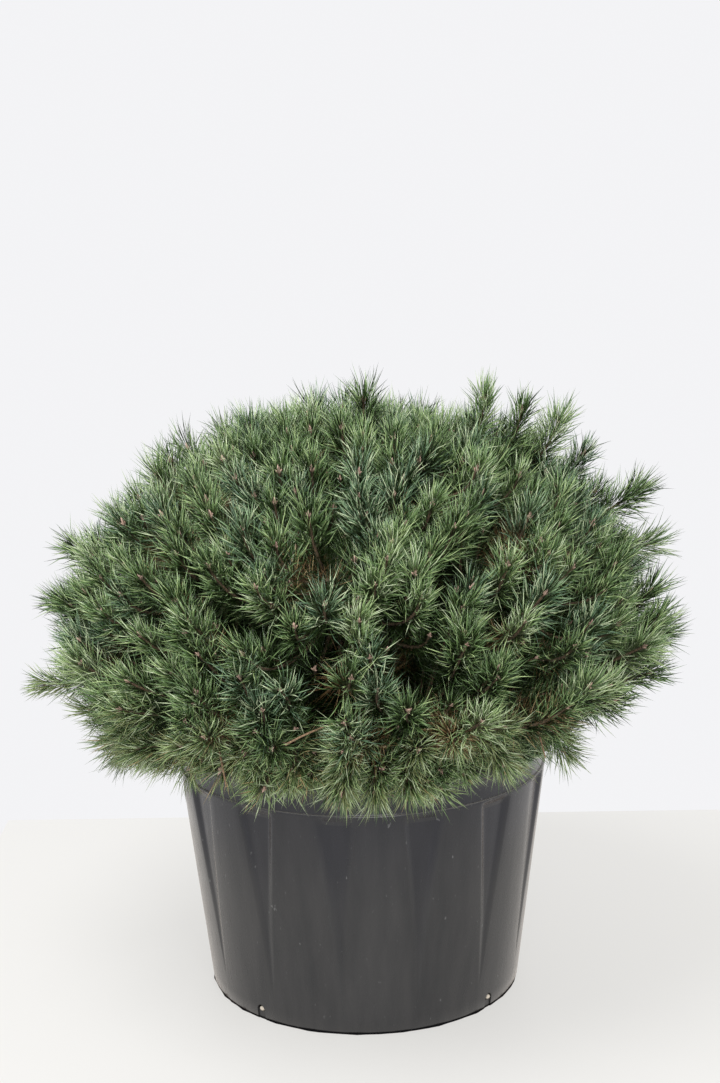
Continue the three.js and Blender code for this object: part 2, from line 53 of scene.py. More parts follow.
def link_object(name, data):
    linked = bpy.data.objects.new(name, data)
    bpy.context.scene.collection.objects.link(linked)
    return linked


def make_camera():
    right = Vector((1, 0, 0))
    forward = Vector((0, math.cos(PITCH), -math.sin(PITCH)))
    down = Vector((0, -math.sin(PITCH), -math.cos(PITCH)))
    rolled_right = math.cos(ROLL) * right - math.sin(ROLL) * down
    rolled_down = math.sin(ROLL) * right + math.cos(ROLL) * down
    axes = Matrix((rolled_right, -rolled_down, -forward)).transposed()
    data = bpy.data.cameras.new("photo_camera")
    data.sensor_fit = "HORIZONTAL"
    data.sensor_width = SENSOR_WIDTH
    data.lens = FOCAL_PIXELS / PHOTO_WIDTH * SENSOR_WIDTH
    camera = link_object("photo_camera", data)
    camera.matrix_world = Matrix.Translation(EYE) @ axes.to_4x4()
    bpy.context.scene.camera = camera


make_camera()


# Studio: a pale floor in an even white surround, with one broad soft light overhead and another
# in front, as in a plant nursery's photo corner.
SURROUND = (0.900, 0.900, 0.918, 1)
FLOOR_SIDE = 1.7
FLOOR_COLOUR = (0.20, 0.198, 0.193, 1)
FLOOR_GLOW = (0.565, 0.558, 0.54, 1)
FLOOR_ROUGHNESS = 0.6
LIGHTS_AIM = Vector((0, 0, 0.6))
SOFT_LIGHTS = [
    # name, place, size, power
    ("overhead_light", (-0.8, -1.1, 3.5), 1.5, 98),
    ("front_light", (0.3, -4.2, 1.6), 2.2, 105),
]


def plain_material(name, colour, roughness):
    material = bpy.data.materials.new(name)
    material.use_nodes = True
    shader = material.node_tree.nodes["Principled BSDF"]
    shader.inputs["Base Color"].default_value = colour
    shader.inputs["Roughness"].default_value = roughness
    return material, shader


def mesh_of(name, shape):
    """Keeps a bmesh as a mesh."""
    mesh = bpy.data.meshes.new(name)
    shape.to_mesh(mesh)
    shape.free()
    return mesh


def link_piece(name, mesh, *materials):
    for material in materials:
        mesh.materials.append(material)
    return link_object(name, mesh)


def make_studio():
    bpy.context.scene.view_settings.view_transform = "Standard"
    world = bpy.data.worlds.new("surround")
    world.use_nodes = True
    world.node_tree.nodes["Background"].inputs["Color"].default_value = SURROUND
    bpy.context.scene.world = world
    shape = bmesh.new()
    bmesh.ops.create_grid(shape, size=FLOOR_SIDE / 2)
    material, shader = plain_material("pale_floor", FLOOR_COLOUR, FLOOR_ROUGHNESS)
    shader.inputs["Emission Color"].default_value = FLOOR_GLOW
    shader.inputs["Emission Strength"].default_value = 1
    floor = link_piece("floor", mesh_of("floor", shape), material)
    for name, place, size, power in SOFT_LIGHTS:
        light = bpy.data.lights.new(name, "AREA")
        light.size = size
        light.energy = power
        lamp = link_object(name, light)
        lamp.location = place
        lamp.rotation_euler = (LIGHTS_AIM - lamp.location).to_track_quat("-Z", "Y").to_euler()


make_studio()


# Pot: a round nursery container of black polypropylene, moulded in one piece. Its wall widens
# upward, with recessed flutes that start at a point near the foot, a ledge, an inset band and a
# rolled rim. The foot has a trimmed lip with painted shade along it, and each drain hole a groove
# down to it.
MM = 0.001
POT_HEIGHT = 490
POT_FOOT_RADIUS = 293
POT_LEDGE_RADIUS = 345
POT_LEDGE_HEIGHT = 430
POT_BAND_RADIUS = 338
POT_FOOT = [(-1.5, 0), (0, 0.7), (0.3, 2.2), (-0.8, 3.8)]
POT_COVE = [(6.9, -2.4), (6.6, -1.1), (5.9, -0.3), (5.0, 0), (3.4, 0.2), (3.1, 1.4), (2.9, 5),
            (2.7, 10), (2.6, 15), (2.8, 20), (3.5, 26), (5.4, 32), (9.2, 38.5), (15, 44.5), (24, 48.5)]
POT_RIM_RADIUS = 368
POT_ROLL = 4
POT_WALL = 4
POT_FLOOR = 5
POT_WALL_ROWS = 44
FLUTES = 14
FLUTE_START = 60
FLUTE_DEPTH = 9
FLUTE_WIDTH = 0.53
FLUTE_POINT = 0.05
FLUTE_EDGE = 0.11
FLUTE_AZIMUTH = -8
FLUTE_TOP = 16
FLUTE_TOP_EDGE = 15
# columns of points on a land between two flutes, on a flute's edge and on its floor
FLUTE_COLUMNS = (6, 7, 4)
SHARP_ANGLE = 40
DRAINS = 4
DRAIN_AZIMUTH = 49.6
DRAIN_RADIUS = 7.5
DRAIN_HEIGHT = 22
DRAIN_CUT = 30
DRAIN_SIDES = 24
NOTCH_WIDTH = 18
NOTCH_DEPTH = 2.5
NOTCH_CUT = 16
LIP_HEIGHT = 3
LIP_RAGGED = 1.6
LIP_WAVES = 7
LIP_WAVE_COUNTS = (9, 70)
LIP_LIMITS = (-0.4, 1)
LIP_SEED = 3
GRIT_SIZE = (5.4, 4.2, 4.6)
GRIT_TURN = 0.2
GRIT_DROP = 0.5
GRIT_ROUGHNESS = 0.3
GRIT_DULLNESS = 0.8
GRIT_COLOUR = (0.5, 0.45, 0.37, 1)
GRIT_SHADES = [(0.35, (0.34, 0.29, 0.23, 1)), (0.65, (0.66, 0.60, 0.50, 1))]
GRIT_SEED = 3
# a mottle's scale, its stretch along the height, and the strength and depth of its relief
MOTTLE_INPUTS = ("Scale", "Stretch", "Bump", "Depth")
WALL_STREAKS = (34, 0.12, 0.2, 0.0005)
WALL_FLECKS = (22, 0.55, 0.0, 0.0)
GRIT_SPOTS = (300, 1.0, 0.3, 0.0005)
FINER = 5.3
PLASTIC_COLOUR = (0.03, 0.03, 0.03, 1)
PLASTIC_ROUGHNESS = 0.3
PLASTIC_SHINE = 0.5
PLASTIC_SHEEN = {"Sheen Weight": 0.2, "Sheen Roughness": 0.35, "Sheen Tint": (1.0, 0.84, 0.70, 1)}
SCUFF = (0.11, 0.11, 0.11, 1)
# dust and a painted highlight on upward faces, such as the ledge's top
DUST_AND_HIGHLIGHT = (0.15, 0.145, 0.14, 1)
# painted shade along the foot's lip, where it meets the floor
PAINTED_FOOT_SHADE = (0.004, 0.004, 0.005, 1)
# stops of colour ramps on a mottle's value
# painted shade: the recesses and the wall high up get this darker plastic, the lands the one below
SHADED_PLASTIC = [(0.3, (0.006, 0.0063, 0.0092, 1)), (0.7, (0.012, 0.0117, 0.0155, 1))]
LAND_PLASTIC = [(0.3, (0.014, 0.0140, 0.0150, 1)), (0.7, (0.026, 0.0250, 0.0252, 1))]
ROUGHER = [(0.3, (0.18, 0.18, 0.18, 1)), (0.7, (0.30, 0.30, 0.30, 1))]
SCUFFED = [(0.70, (0, 0, 0, 1)), (0.78, (1, 1, 1, 1))]
# where each effect starts and is full: heights in metres, and the upward part of the normal
# painted shadow of the foliage on the wall high up: its heights, and how far it darkens
PAINTED_FOLIAGE_SHADE_HEIGHTS = (0.24, 0.43)
PAINTED_FOLIAGE_SHADE_SHARE = 0.7
DUST_AND_HIGHLIGHT_SLOPES = (0.25, 0.8)
FOOT_SHADE_HEIGHTS = (0.0035, 0.006)


def smooth(x):
    x = np.clip(x, 0, 1)
    return x * x * (3 - 2 * x)


def taper(first, last, t):
    return first + (last - first) * t


def wall_radius(height):
    return POT_FOOT_RADIUS + (POT_LEDGE_RADIUS - POT_FOOT_RADIUS) * height / POT_LEDGE_HEIGHT


def pot_profile():
    rise = np.linspace(FLUTE_START / 2, POT_LEDGE_HEIGHT - 6, POT_WALL_ROWS)
    outside = [(POT_FOOT_RADIUS * f, 0) for f in (0.3, 0.6, 0.9)]
    outside += [(POT_FOOT_RADIUS + r, z) for r, z in POT_FOOT]
    outside += [(wall_radius(6), 6)]
    outside += [(wall_radius(z), z) for z in rise]
    outside += [(POT_BAND_RADIUS + r, POT_LEDGE_HEIGHT + z) for r, z in POT_COVE]
    across, level = POT_RIM_RADIUS - POT_ROLL, POT_HEIGHT - POT_ROLL - 2
    outside += [(across + POT_ROLL * math.cos(a), level + POT_ROLL * math.sin(a))
                for a in np.radians(np.linspace(-60, 90, 7))]
    inner = POT_BAND_RADIUS - POT_WALL
    inside = [(inner + 6, POT_HEIGHT), (inner + 1.5, POT_HEIGHT - 1.5), (inner, POT_HEIGHT - 5)]
    inside += [(inner, POT_LEDGE_HEIGHT + 3), (POT_LEDGE_RADIUS - POT_WALL, POT_LEDGE_HEIGHT - 4)]
    inside += [(wall_radius(z) - POT_WALL, z) for z in rise[::-4]]
    inside += [(wall_radius(POT_FLOOR) - POT_WALL - 3, POT_FLOOR)]
    return np.array(outside + inside)


def flute_columns(rise):
    """Places of the columns in one flute's span, and how far each is pressed in, by height."""
    half = taper(FLUTE_POINT, FLUTE_WIDTH, rise) / 2
    edge = np.minimum(FLUTE_EDGE, half)
    land, ramp, floor = (np.linspace(0, 1, columns, endpoint=False)
                         for columns in FLUTE_COLUMNS)
    spans = [(land, half - 1, -half, 0, 0), (ramp, -half, edge - half, 0, 1),
             (floor, edge - half, half - edge, 1, 1), (ramp, half - edge, half, 1, 0)]
    places, depths = [], []
    for steps, start, stop, shallow, deep in spans:
        places.append(taper(start[:, None], stop[:, None], steps))
        depths.append(np.broadcast_to(taper(shallow, deep, smooth(steps)), places[-1].shape))
    return np.concatenate(places, 1), np.concatenate(depths, 1)


def new_attribute(mesh, name, kind, values):
    """Writes one value, or one vector, for each point of a mesh."""
    attribute = mesh.attributes.new(name, kind, "POINT")
    field = "vector" if kind == "FLOAT_VECTOR" else "value"
    attribute.data.foreach_set(field, np.asarray(values, dtype=np.float32).ravel())


def turned_mesh(name, profile):
    """The profile turned about the pot's axis, with the flutes pressed in and both poles closed."""
    radius, height = profile[:, 0], profile[:, 1]
    rise = np.clip((height - FLUTE_START) / (POT_LEDGE_HEIGHT - FLUTE_START), 0, 1)
    places, depths = flute_columns(rise)
    pressed = np.where(height > POT_LEDGE_HEIGHT, 0, FLUTE_DEPTH * rise)
    pressed *= 1 - smooth((height - POT_LEDGE_HEIGHT + FLUTE_TOP) / FLUTE_TOP_EDGE)
    turn = (np.arange(FLUTES)[None, :, None] + places[:, None, :]) / FLUTES
    azimuth = np.radians(FLUTE_AZIMUTH + 360 * turn).reshape(len(profile), -1)
    reach = np.tile(radius[:, None] - pressed[:, None] * depths, (1, FLUTES))
    points = np.stack([reach * np.sin(azimuth), -reach * np.cos(azimuth),
                       np.broadcast_to(height[:, None], reach.shape)], -1)
    rows, columns = reach.shape
    verts = np.vstack([points.reshape(-1, 3), [[0, 0, height[0]], [0, 0, height[-1]]]]) * MM
    index = np.arange(rows * columns).reshape(rows, columns)
    beside = np.roll(index, -1, 1)
    faces = np.stack([index[:-1], beside[:-1], beside[1:], index[1:]], -1).reshape(-1, 4).tolist()
    faces += [[rows * columns, b, a] for a, b in zip(index[0], beside[0])]
    faces += [[rows * columns + 1, a, b] for a, b in zip(index[-1], beside[-1])]
    mesh = bpy.data.meshes.new(name)
    mesh.from_pydata(verts.tolist(), [], faces)
    recess = np.append(np.tile(pressed[:, None] * depths, (1, FLUTES)) / FLUTE_DEPTH, [0, 0])
    new_attribute(mesh, "recess", "FLOAT", recess)
    return mesh


def around(azimuth, radius, height):
    """A point by azimuth from the front, in degrees, positive toward +X."""
    angle = math.radians(azimuth)
    return np.array([radius * math.sin(angle), -radius * math.cos(angle), height])


def keep_evaluated(piece):
    """Turns a piece's modifiers into a plain mesh."""
    graph = bpy.context.evaluated_depsgraph_get()
    mesh = bpy.data.meshes.new_from_object(piece.evaluated_get(graph))
    piece.modifiers.clear()
    piece.data = mesh


def drain_cutters():
    shape = bmesh.new()
    lay = Matrix.Rotation(math.radians(90), 4, "X")
    lean = math.atan2(POT_LEDGE_RADIUS - POT_FOOT_RADIUS, POT_LEDGE_HEIGHT)
    size = Matrix.Diagonal((NOTCH_WIDTH * MM, NOTCH_CUT * MM, 2 * DRAIN_HEIGHT * MM, 1))
    for i in range(DRAINS):
        azimuth = DRAIN_AZIMUTH + 360 / DRAINS * i
        turn = Matrix.Rotation(math.radians(azimuth), 4, "Z")
        hole_at = Matrix.Translation(around(azimuth, POT_FOOT_RADIUS, DRAIN_HEIGHT) * MM)
        bmesh.ops.create_cone(shape, cap_ends=True, segments=DRAIN_SIDES, radius1=DRAIN_RADIUS * MM,
                              radius2=DRAIN_RADIUS * MM, depth=DRAIN_CUT * MM,
                              matrix=hole_at @ turn @ lay)
        notch = around(azimuth, POT_FOOT_RADIUS - NOTCH_DEPTH + NOTCH_CUT / 2, 0)
        turn = turn @ Matrix.Rotation(lean, 4, "X")
        bmesh.ops.create_cube(shape, size=1, matrix=Matrix.Translation(notch * MM) @ turn @ size)
    return link_object("drain_cutters", mesh_of("drain_cutters", shape))


def add_node(tree, kind, values=(), **settings):
    """A node with its settings, and with the values of some inputs by name or number."""
    node = tree.nodes.new(kind)
    for name, setting in settings.items():
        setattr(node, name, setting)
    for key, value in dict(values).items():
        node.inputs[key].default_value = value
    return node


def wire(tree, *links):
    """Makes links, each given as a node, its output, the node it leads to and that one's input."""
    for source, output, target, key in links:
        tree.links.new(source.outputs[output], target.inputs[key])


def new_tree(name, kind, inputs, outputs):
    """A node tree with sockets by name and kind, and its input and output nodes."""
    tree = bpy.data.node_groups.new(name, kind)
    for in_out, sockets in (("INPUT", inputs), ("OUTPUT", outputs)):
        for label, socket in sockets.items():
            tree.interface.new_socket(label, in_out=in_out, socket_type="NodeSocket" + socket)
    return tree, add_node(tree, "NodeGroupInput"), add_node(tree, "NodeGroupOutput")


def mottle_group():
    """Two scales of noise, stretched along the height, and the finer one's relief."""
    inputs = dict.fromkeys(MOTTLE_INPUTS, "Float")
    outputs = {"Coarse": "Float", "Fine": "Float", "Normal": "Vector"}
    group, given, out = new_tree("mottle", "ShaderNodeTree", inputs, outputs)
    place = add_node(group, "ShaderNodeTexCoord")
    squeeze = add_node(group, "ShaderNodeCombineXYZ", {"X": 1, "Y": 1})
    stretched = add_node(group, "ShaderNodeVectorMath", operation="MULTIPLY")
    finer = add_node(group, "ShaderNodeMath", {1: FINER}, operation="MULTIPLY")
    coarse = add_node(group, "ShaderNodeTexNoise", {"Detail": 4})
    fine = add_node(group, "ShaderNodeTexNoise", {"Detail": 3})
    bump = add_node(group, "ShaderNodeBump")
    wire(group,
         (given, "Stretch", squeeze, "Z"), (place, "Object", stretched, 0),
         (squeeze, 0, stretched, 1), (given, "Scale", coarse, "Scale"),
         (given, "Scale", finer, 0), (finer, 0, fine, "Scale"),
         (stretched, 0, coarse, "Vector"), (stretched, 0, fine, "Vector"),
         (fine, 0, bump, "Height"), (given, "Bump", bump, "Strength"),
         (given, "Depth", bump, "Distance"), (coarse, 0, out, "Coarse"),
         (fine, 0, out, "Fine"), (bump, 0, out, "Normal"))
    return group


MOTTLE = mottle_group()


def add_mottle(tree, *settings):
    values = zip(MOTTLE_INPUTS, settings)
    return add_node(tree, "ShaderNodeGroup", values, node_tree=MOTTLE)


def add_ramp(tree, source, stops):
    """A colour ramp on a source, which is a node and its output, by stops of place and colour."""
    ramp = add_node(tree, "ShaderNodeValToRGB")
    elements = ramp.color_ramp.elements
    for place, _ in stops[2:]:
        elements.new(place)
    for element, (place, colour) in zip(elements, stops):
        element.position = place
        element.color = colour
    wire(tree, (*source, ramp, 0))
    return ramp, 0


def add_rise(tree, source, low, high, top=1):
    """A value that rises from 0 to a top as its source goes from low to high."""
    rise = add_node(tree, "ShaderNodeMapRange", {"From Min": low, "From Max": high, "To Max": top})
    wire(tree, (*source, rise, "Value"))
    return rise, "Result"


def add_mix(tree, factor, first, second):
    """Goes from the first colour to the second, each of which is a plain colour or a source."""
    mix = add_node(tree, "ShaderNodeMix", data_type="RGBA")
    wire(tree, (*factor, mix, 0))
    for key, colour in ((6, first), (7, second)):
        if len(colour) == 4:
            mix.inputs[key].default_value = colour
        else:
            wire(tree, (*colour, mix, key))
    return mix, 2


def pot_plastic():
    """Scuffed on the lands, with painted shade in the recesses and high up under the foliage, dust and
    a painted highlight on upward faces, painted shade on the foot's lip, and fine streaks down the
    wall.
    """
    material, shader = plain_material("black_pot_plastic", PLASTIC_COLOUR, PLASTIC_ROUGHNESS)
    tree = material.node_tree
    for name, value in PLASTIC_SHEEN.items():
        shader.inputs[name].default_value = value
    streaks = add_mottle(tree, *WALL_STREAKS)
    flecks = add_mottle(tree, *WALL_FLECKS)
    place = add_node(tree, "ShaderNodeTexCoord")
    level = add_node(tree, "ShaderNodeSeparateXYZ")
    facing = add_node(tree, "ShaderNodeNewGeometry")
    upward = add_node(tree, "ShaderNodeSeparateXYZ")
    recess = add_node(tree, "ShaderNodeAttribute", attribute_name="recess")
    # painted shade: darker plastic in the recesses and, high up, under the foliage
    painted_shade = add_node(tree, "ShaderNodeMath", operation="ADD", use_clamp=True)
    shine = add_node(tree, "ShaderNodeMath", {1: PLASTIC_SHINE}, operation="MULTIPLY")
    painted_foliage_shade = add_rise(tree, (level, "Z"), *PAINTED_FOLIAGE_SHADE_HEIGHTS, PAINTED_FOLIAGE_SHADE_SHARE)
    dust_and_highlight = add_rise(tree, (upward, "Z"), *DUST_AND_HIGHLIGHT_SLOPES)
    above_foot_shade = add_rise(tree, (level, "Z"), *FOOT_SHADE_HEIGHTS)
    dark = add_ramp(tree, (streaks, "Coarse"), SHADED_PLASTIC)
    land_colour = add_ramp(tree, (streaks, "Coarse"), LAND_PLASTIC)
    colour = add_mix(tree, (painted_shade, 0), land_colour, dark)
    colour = add_mix(tree, add_ramp(tree, (flecks, "Fine"), SCUFFED), colour, SCUFF)
    # dust and a painted highlight on upward faces
    colour = add_mix(tree, dust_and_highlight, colour, DUST_AND_HIGHLIGHT)
    # painted shade on the foot's lip, which also loses its shine
    colour = add_mix(tree, above_foot_shade, PAINTED_FOOT_SHADE, colour)
    wire(tree,
         (place, "Object", level, 0), (facing, "Normal", upward, 0),
         (recess, "Fac", painted_shade, 0), (*painted_foliage_shade, painted_shade, 1),
         (*above_foot_shade, shine, 0), (*colour, shader, "Base Color"),
         (shine, 0, shader, "Specular IOR Level"),
         (*add_ramp(tree, (streaks, "Fine"), ROUGHER), shader, "Roughness"),
         (streaks, "Normal", shader, "Normal"))
    return material


def trim_lip(mesh):
    """Makes the foot's lip ragged."""
    rough = random.Random(LIP_SEED)
    waves = [(rough.randint(*LIP_WAVE_COUNTS), rough.uniform(0, 2 * math.pi))
             for _ in range(LIP_WAVES)]
    for vertex in mesh.vertices:
        radius = math.hypot(vertex.co.x, vertex.co.y)
        if vertex.co.z < LIP_HEIGHT * MM and radius > (POT_FOOT_RADIUS - 1) * MM:
            azimuth = math.atan2(vertex.co.y, vertex.co.x)
            ragged = sum(math.sin(many * azimuth + start) for many, start in waves) / 3
            out = 1 + LIP_RAGGED * MM * np.clip(ragged, *LIP_LIMITS) / radius
            vertex.co.x, vertex.co.y = vertex.co.x * out, vertex.co.y * out


def make_grit():
    """A pale stone shows in each drain hole."""
    shape = bmesh.new()
    rough = random.Random(GRIT_SEED)
    size = Matrix.Diagonal((*(length * MM for length in GRIT_SIZE), 1))
    for i in range(DRAINS):
        azimuth = DRAIN_AZIMUTH + 360 / DRAINS * i + GRIT_TURN
        middle = around(azimuth, wall_radius(DRAIN_HEIGHT) - POT_WALL, DRAIN_HEIGHT - GRIT_DROP)
        made = bmesh.ops.create_icosphere(shape, subdivisions=2, radius=1,
                                          matrix=Matrix.Translation(middle * MM) @ size)
        for vertex in made["verts"]:
            vertex.co += Vector([rough.uniform(-GRIT_ROUGHNESS, GRIT_ROUGHNESS) * MM for _ in range(3)])
    mesh = mesh_of("drain_grit", shape)
    mesh.shade_smooth()
    material, shader = plain_material("pale_grit", GRIT_COLOUR, GRIT_DULLNESS)
    tree = material.node_tree
    shade = add_ramp(tree, (add_mottle(tree, *GRIT_SPOTS), "Fine"), GRIT_SHADES)
    wire(tree, (*shade, shader, "Base Color"))
    grit = link_piece("drain_grit", mesh, material)
    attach(grit, "root")


def make_pot():
    pot = link_piece("pot_shell", turned_mesh("pot_shell", pot_profile()), pot_plastic())
    trim_lip(pot.data)
    cutters = drain_cutters()
    cut = pot.modifiers.new("drains", "BOOLEAN")
    cut.operation = "DIFFERENCE"
    cut.object = cutters
    cut.use_self = True
    keep_evaluated(pot)
    bpy.data.objects.remove(cutters)
    pot.data.shade_smooth()
    pot.data.set_sharp_from_angle(angle=math.radians(SHARP_ANGLE))
    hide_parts("pot")
    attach(pot, "root")


make_pot()
make_grit()


# Potting soil: dark, moist peat and bark with a loose surface, filled to two fingers' breadth
# below the rim. Coarse crumbs lie on it.
SOIL_TOP = 455
SOIL_LUMPS = 4
SOIL_SEED = 11
SOIL_COLOUR = (0.03, 0.02, 0.014, 1)
SOIL_DULLNESS = 0.95
SOIL_MOTTLE = (60, 1.0, 0.8, 0.004)
SOIL_SHADES = [(0.35, (0.016, 0.010, 0.007, 1)), (0.75, (0.075, 0.050, 0.034, 1))]
SOIL_GAP = 0.5
SOIL_RINGS = 34
CRUMBS = 1500
CRUMB_MARGIN = 14
CRUMB_SIZE = 4.5
CRUMB_SIZES = (0.6, 1.6)
CRUMB_CORNERS = (0.7, 1.15)
CRUMB_FLATNESS = 0.6


def mottled_material(name, colour, dullness, mottle, shades):
    """A material whose shades and relief follow a mottle."""
    material, shader = plain_material(name, colour, dullness)
    tree = material.node_tree
    spots = add_mottle(tree, *mottle)
    wire(tree,
         (*add_ramp(tree, (spots, "Fine"), shades), shader, "Base Color"),
         (spots, "Normal", shader, "Normal"))
    return material


def soil_mesh():
    inner = POT_BAND_RADIUS - POT_WALL - SOIL_GAP
    profile = [(inner * f, POT_LEDGE_HEIGHT + 6) for f in (0.02, 0.5, 1)]
    profile += [(inner * f, SOIL_TOP) for f in np.linspace(1, 0.03, SOIL_RINGS)]
    mesh = turned_mesh("soil_surface", np.array(profile))
    rough = random.Random(SOIL_SEED)
    for vertex in mesh.vertices:
        level = math.hypot(vertex.co.x, vertex.co.y) / (inner * MM)
        if vertex.co.z > (SOIL_TOP - 1) * MM and level < 0.99:
            vertex.co.z += rough.uniform(-SOIL_LUMPS, 0) * MM
    return mesh


def crumb_mesh():
    shape = bmesh.new()
    bmesh.ops.create_icosphere(shape, subdivisions=1, radius=1)
    rough = random.Random(SOIL_SEED)
    for vertex in shape.verts:
        vertex.co *= rough.uniform(*CRUMB_CORNERS)
        vertex.co.z *= CRUMB_FLATNESS
    return mesh_of("crumb", shape)


def read_attribute(tree, name, kind):
    return add_node(tree, "GeometryNodeInputNamedAttribute", {"Name": name}, data_type=kind)


def scatter_tree(name, thing, material):
    """A thing stood on every point, turned and sized by the point's attributes."""
    inputs = {"Geometry": "Geometry", "Size": "Float"}
    tree, given, out = new_tree(name, "GeometryNodeTree", inputs, {"Geometry": "Geometry"})
    info = add_node(tree, "GeometryNodeObjectInfo", {"Object": thing})
    stand = add_node(tree, "GeometryNodeInstanceOnPoints")
    turned = read_attribute(tree, "turned", "FLOAT_VECTOR")
    sized = read_attribute(tree, "sized", "FLOAT")
    rotation = add_node(tree, "FunctionNodeEulerToRotation")
    scale = add_node(tree, "ShaderNodeMath", operation="MULTIPLY")
    real = add_node(tree, "GeometryNodeRealizeInstances")
    paint = add_node(tree, "GeometryNodeSetMaterial", {"Material": material})
    wire(tree,
         (given, "Geometry", stand, "Points"), (info, "Geometry", stand, "Instance"),
         (turned, "Attribute", rotation, 0), (rotation, 0, stand, "Rotation"),
         (sized, "Attribute", scale, 0), (given, "Size", scale, 1),
         (scale, 0, stand, "Scale"), (stand, "Instances", real, "Geometry"),
         (real, "Geometry", paint, "Geometry"), (paint, "Geometry", out, "Geometry"))
    return tree


def add_tree(piece, tree, values):
    """Runs a tree on a piece with values for its named inputs, and keeps the result."""
    modifier = piece.modifiers.new("grown", "NODES")
    modifier.node_group = tree
    for label, value in values.items():
        modifier[tree.interface.items_tree[label].identifier] = value
    keep_evaluated(piece)


def scatter(name, thing_mesh, material, places, turns, sizes, size):
    """Stands a small mesh on many places and keeps the result as one plain mesh."""
    thing = bpy.data.objects.new(name + "_pattern", thing_mesh)
    points = bpy.data.meshes.new(name)
    points.from_pydata(np.asarray(places).tolist(), [], [])
    new_attribute(points, "turned", "FLOAT_VECTOR", turns)
    new_attribute(points, "sized", "FLOAT", sizes)
    piece = link_piece(name, points)
    add_tree(piece, scatter_tree(name + "_tree", thing, material), {"Size": size})
    bpy.data.objects.remove(thing)
    return piece


def make_soil():
    material = mottled_material("potting_soil", SOIL_COLOUR, SOIL_DULLNESS, SOIL_MOTTLE, SOIL_SHADES)
    soil = link_piece("soil_surface", soil_mesh(), material)
    soil.data.shade_smooth()
    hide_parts("soil")
    lay = random.Random(SOIL_SEED)
    places, turns, sizes = [], [], []
    for _ in range(CRUMBS):
        radius = (POT_BAND_RADIUS - CRUMB_MARGIN) * math.sqrt(lay.random())
        places.append(around(lay.uniform(0, 360), radius, SOIL_TOP - 1) * MM)
        turns.append([lay.uniform(0, 6.3) for _ in range(3)])
        sizes.append(lay.uniform(*CRUMB_SIZES))
    crumbs = scatter("soil_crumbs", crumb_mesh(), material, places, turns, sizes, CRUMB_SIZE * MM)
    for piece in (soil, crumbs):
        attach(piece, "root")


make_soil()


# Trunk and boughs: a short leaning stem with a flared foot, and one bough to each mass of foliage
# but the top one. The bark is grey-brown and plated below, smoother and browner on the twigs.
GAP = 0.3
TRUNK_LEAN = [(0, 0), (0, 0), (-24, 10), (6, 2)]
TRUNK_TOP = 905
TRUNK_RADII = (30, 9)
TRUNK_FLARE = 16
TRUNK_FLARE_HEIGHT = 26
HEART = np.array([0, 0, 620.0])
UP = np.array([0, 0, 1])
RINGS = [
    # name, masses, azimuth of the first, radius and height of their middles,
    # height where the boughs leave the trunk, its stagger, and the bough's radius there
    ("skirt", 7, 18.7, 435, 600, 505, 78, 14),
    ("middle", 6, -8, 345, 830, 620, 78, 15),
    ("upper", 4, 40, 185, 985, 735, 125, 11),
]
TOP_MASS_HEIGHT = 1030
BOUGH_TIP_RADIUS = 7
BOUGH_SAG = 0.16
BOUGH_STAGGER_TURN = 0.382
BOUGH_END = 135
STEM_REACH = 50
STEM_TURN = 0.45
LIMB_POINTS = 22
# how a limb's tube is made: its sides, the depth of its relief by radius, and the relief's scale
LIMB_TUBES = (20, 0.5, 60)
BARK_SCALE, BARK_STRETCH, BARK_DEPTH = 55, 0.45, 0.004
BARK_STOPS = (0.3, 0.5, 0.72)
BARK_DULLNESS = 0.9
# a bark's dark and light colours, and the strength of its relief
OLD_BARK = ((0.035, 0.024, 0.018, 1), (0.21, 0.15, 0.11, 1), 0.9)


def unit(vector):
    return vector / np.linalg.norm(vector)


def bezier(points, t):
    """A point, or points, on the curve that the control points give."""
    degree = len(points) - 1
    t = np.asarray(t, dtype=float)[..., None]
    return sum(math.comb(degree, i) * (1 - t) ** (degree - i) * t**i * np.asarray(p, dtype=float)
               for i, p in enumerate(points))


def trunk_points():
    foot = SOIL_TOP + GAP
    return [(x, y, foot + (TRUNK_TOP - foot) * i / 3) for i, (x, y) in enumerate(TRUNK_LEAN)]


def bough_points(order, leaves_at, stagger, middle):
    """The boughs of a ring leave the trunk at staggered heights, so that neighbours stay apart."""
    height = leaves_at + stagger * ((order * BOUGH_STAGGER_TURN) % 1)
    leaves = bezier(trunk_points(), (height - SOIL_TOP) / (TRUNK_TOP - SOIL_TOP))
    end = middle + BOUGH_END * unit(leaves - middle)
    bend = (leaves + end) / 2
    bend[2] -= np.linalg.norm(end - leaves) * BOUGH_SAG
    return [leaves, bend, end]


def stem_points(limb, middle):
    """The stem grows on from its bough's tip, or the trunk's, and turns outward through the mass."""
    growing = unit(np.subtract(limb[-1], limb[-2]))
    start = np.asarray(limb[-1]) + GAP * growing
    end = middle + STEM_REACH * unit(middle - HEART)
    return [start, start + STEM_TURN * np.linalg.norm(end - start) * growing, end]


def place_masses():
    masses = []
    for name, count, first, radius, height, leaves_at, stagger, thick in RINGS:
        for i in range(count):
            middle = around(first + 360 * i / count, radius, height)
            bough = bough_points(i, leaves_at, stagger, middle)
            stem = stem_points(bough, middle)
            masses.append({"name": f"{name}_{i + 1}", "middle": middle, "bough": bough,
                           "thick": thick, "stem": stem})
    middle = np.array([0.0, 0.0, TOP_MASS_HEIGHT])
    masses.append({"name": "top", "middle": middle, "stem": stem_points(trunk_points(), middle)})
    return masses


MASSES = place_masses()


